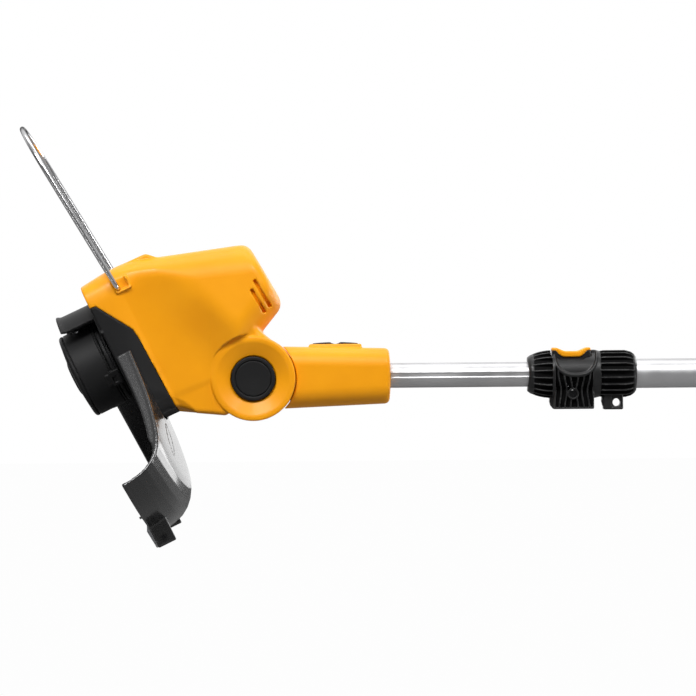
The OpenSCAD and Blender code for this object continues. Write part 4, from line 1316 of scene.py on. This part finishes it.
grip_frame = (
    SHAFT @ Matrix.Translation((AUX_X, 0, AUX_GRIP_Z)) @ Matrix.Rotation(math.radians(-90), 4, "X")
)
turned(
    "aux_sleeve", aux_grip_profile(), grip_frame, "aux_arm", "grip_rubber", ["aux_grip"], sides=80,
    wobble=sleeve_ridges,
)


def aux_knob_field(x, y, z):
    x, z = x - AUX_X, z - AUX_PIVOT_Z
    r = norm(x, z)
    turn = np.arctan2(z, x)
    lobes = r - 14.0 - 1.9 * np.cos(6 * turn)
    body = extruded(lobes, y + 34.5, 6.4, 1.8)
    body = smooth_min(body, extruded(r - 8.6, y + 25.8, 3.0, 0.5), 1.0)
    face = smooth_max(r - 8.5, y + 39.6, 0.4)
    body = cut(body, face, 0.6)
    return cut(body, common(r - 4.0, -36 - y), 0.3)


moulded(
    "knob_star", aux_knob_field, (572, -43, 9), (608, -21, 45), 0.8, "aux_knob", "black_plastic",
    ["aux_knob"],
)

# ---- rear handle


def inset(points, distance):
    """The outline moved inwards by a distance; rounding it back out gives round corners."""
    area = sum(a[0] * b[1] - b[0] * a[1] for a, b in zip(points, points[1:] + points[:1]))
    turn = 1 if area > 0 else -1
    lines = []
    for (ax, ay), (bx, by) in zip(points, points[1:] + points[:1]):
        length = math.hypot(bx - ax, by - ay)
        nx, ny = -(by - ay) / length * turn, (bx - ax) / length * turn
        lines.append((nx, ny, nx * ax + ny * ay + distance))
    out = []
    for (a, b, c), (d, e, f) in zip(lines[-1:] + lines[:-1], lines):
        det = a * e - b * d
        out.append(((c * e - b * f) / det, (a * f - c * d) / det))
    return out


HANDLE = [
    (732, -19), (732, 19), (790, 21), (840, 29), (930, 25), (960, 30), (981, 36), (981, -76), (950, -83),
    (850, -80), (818, -66), (800, -34), (780, -22),
]
FINGER_HOLE = [(826, -24), (842, -19), (940, -19), (946, -58), (925, -64), (862, -63), (838, -52)]
HANDLE_R, HOLE_R = 9, 12  # radii of their corners
HANDLE_IN, HOLE_IN = inset(HANDLE, HANDLE_R), inset(FINGER_HOLE, HOLE_R)
HANDLE_W = 18.8


def handle_solid(x, y, z):
    flat = filled(x, z, HANDLE_IN) - HANDLE_R
    hole = filled(x, z, HOLE_IN) - HOLE_R
    # the grip is slimmer than the ends
    slim = 2.2 * step(x, 862, 885) * (1 - step(x, 938, 958))
    body = extruded(flat, y, HANDLE_W - slim, 8.5)
    return cut(body, hole, 8)


PANEL = [(748, -11), (748, 11), (786, 13), (806, 9), (806, -22), (786, -16)]
PAD_LINE = [(884, -2), (880, 32), (946, 30), (942, 4), (930, -8), (896, -10)]
HANDLE_SCREWS = ((772, -12), (812, -34), (905, 8), (964, -68), (968, 26))


def handle_field(side):
    def field(x, y, z):
        wide = np.abs(y)
        body = handle_solid(x, y, z)
        # recessed panel with cooling slots below the tube, and a step line round the front
        panel = filled(x, z, PANEL)
        body = cut(body, common(panel, -(body + 0.9)), 0.6)
        for k in range(5):
            slot = polyline(x, z, [(756 + 8 * k, -6), (760 + 8 * k, 7)]) - 1.3
            body = cut(body, common(slot, -(body + 3.2)), 0.5)
        line = common(np.abs(x - 952 - 0.12 * z) - 0.5, -(body + 0.8))
        body = cut(body, line, 0.3)
        bore = common(norm(y, z) - 13.05, x - 761)
        body = cut(body, bore, 0.8)
        for room in (
            rounded_box(x, wide, z, (854, 0, -15), (24, 8, 15), 0.6),
            rounded_box(x, wide, z, (859, 0, 32), (13, 7, 20), 0.8),
            rounded_box(x, wide, z, (991, 0, -22), (20, 13, 26), 0.6),
        ):
            body = cut(body, room, 0.7)
        if side > 0:
            for bx, bz in HANDLE_SCREWS:
                ring = norm(x - bx, z - bz) - 3.4
                body = cut(body, common(ring, 12 - wide), 0.6)
        return smooth_max(body, -side * y + 0.03, 0.3)

    return field


moulded_halves(
    "handle_shell", "handle", handle_field, (730, -20, -85), (983, 20, 38), 1.5, 1.5, "shaft",
    "shell_yellow",
)


def pad_field(x, y, z):
    """Soft pad over the top and flanks of the grip, with rows of small raised bars."""
    solid = handle_solid(x, y, z)
    skin = cut(solid - 1.9, solid + 1.6, 0.3)
    outline = filled(x, z, PAD_LINE) - 3
    body = smooth_max(skin, outline, 1.0)
    bars = common(np.abs(np.mod(x - 0.35 * z, 5.0) - 2.5) - 1.0, -(solid - 1.0))
    bars = common(bars, outline + 3.5)
    return cut(body, bars, 0.5)


moulded(
    "grip_cover", pad_field, (874, -21, -16), (952, 21, 33), 0.9, "shaft", "grip_rubber",
    ["grip_pad"],
)

# ---- battery

PACK_X = (986.0, 1022.0, 1046.0)
PACK_LOW, PACK_HIGH, PACK_HALF_W, PACK_CORNER = -76.0, 30.0, 38.0, 6


def pack_block(x, y, z, x0, x1, r):
    """The pack's outline from one x to another, with its ends rounded over r."""
    middle = ((x0 + x1) / 2, 0, (PACK_LOW + PACK_HIGH) / 2)
    half = ((x1 - x0) / 2, PACK_HALF_W, (PACK_HIGH - PACK_LOW) / 2)
    flat_y = np.abs(y) - half[1] + PACK_CORNER
    flat_z = np.abs(z - middle[2]) - half[2] + PACK_CORNER
    return extruded(corner_of(flat_y, flat_z, PACK_CORNER), x - middle[0], half[0], r)


def pack_case_field(x, y, z):
    side = np.abs(y)
    body = pack_block(x, y, z, PACK_X[0], PACK_X[1], 1.0)
    for low, high, half in ((984, 988.6, 2.8), (987.7, 991.6, 5.3)):
        middle, depth = (low + high) / 2, (high - low) / 2
        groove = rounded_box(x, side, z, (middle, 24, -60), (depth, half, 78.3), 0.3)
        body = cut(body, groove, 0.4)
    well = rounded_box(x, y, z, (1006, 0, 41), (7.0, 9.5, 19.6), 0.6)
    body = cut(body, well, 0.5)
    room = rounded_box(x, side, z, (1014, 0, -27.4), (19, 33, 45.8), 1.0)
    body = cut(body, room, 0.4)
    # finger ridges down each flank
    for k in range(6):
        ridge = rounded_box(x, side, z, (1004, 38.4, -46 + 10 * k), (10, 1.2, 1.6), 0.8)
        body = cut(body, ridge, 0.6)
    return body


def pack_lid_field(x, y, z):
    body = pack_block(x, y, z, PACK_X[1] - 20, PACK_X[2], 5.0)
    body = smooth_max(body, PACK_X[1] + 0.3 - x, 0.5)
    room = pack_block(x + 3, y, z, PACK_X[1] - 3, PACK_X[2], 2.0) + 3
    body = cut(body, room, 0.5)
    lip = common(np.abs(x - 1024.6) - 0.6, -(body + 0.9))
    body = cut(body, lip, 0.3)
    panel = extruded(common(np.abs(y) - 27, np.abs(z + 23) - 40), x - PACK_X[2], 0.9, 0.4)
    body = cut(body, panel, 0.6)
    for k in range(7):
        vent = rounded_box(x, y, z, (1046, 0, -47 + 8 * k), (2.4, 20, 1.3), 0.9)
        body = cut(body, vent, 0.5)
    return body


moulded(
    "pack_case", pack_case_field, (984, -40, -78), (1024, 40, 32), 1.4, "battery", "black_plastic",
    ["battery_case"],
)
moulded(
    "pack_lid", pack_lid_field, (1020, -40, -78), (1048, 40, 32), 1.4, "battery", "black_plastic",
    ["battery_lid"],
)

# ---- carried-over nodes

EDGED = {  # width of the bevel in millimetres
    "aux_clamp": 1.2, "aux_bolt": 0.6, "trigger": 1.4, "lock_off": 0.8, "battery_dock": 0.8,
    "battery_latch": 0.8, "line_cutter": 0.2, "tube_plug": 0.4, "glide_bush": 0.3, "swivel_bush": 0.4,
    "motor_can": 0.6, "motor_endcap": 0.5, "motor_bracket": 0.5, "spool_reel": 0.4, "fan": 0.3,
    "hinge_axle": 0.4,
}
for node_name, width in EDGED.items():
    node = frame["nodes"][node_name]
    bevel = node.modifiers.new("edges", "BEVEL")
    bevel.width = width * MM
    bevel.segments = 2
    bevel.limit_method = "ANGLE"
    bevel.angle_limit = math.radians(38)
    bevel.use_clamp_overlap = True
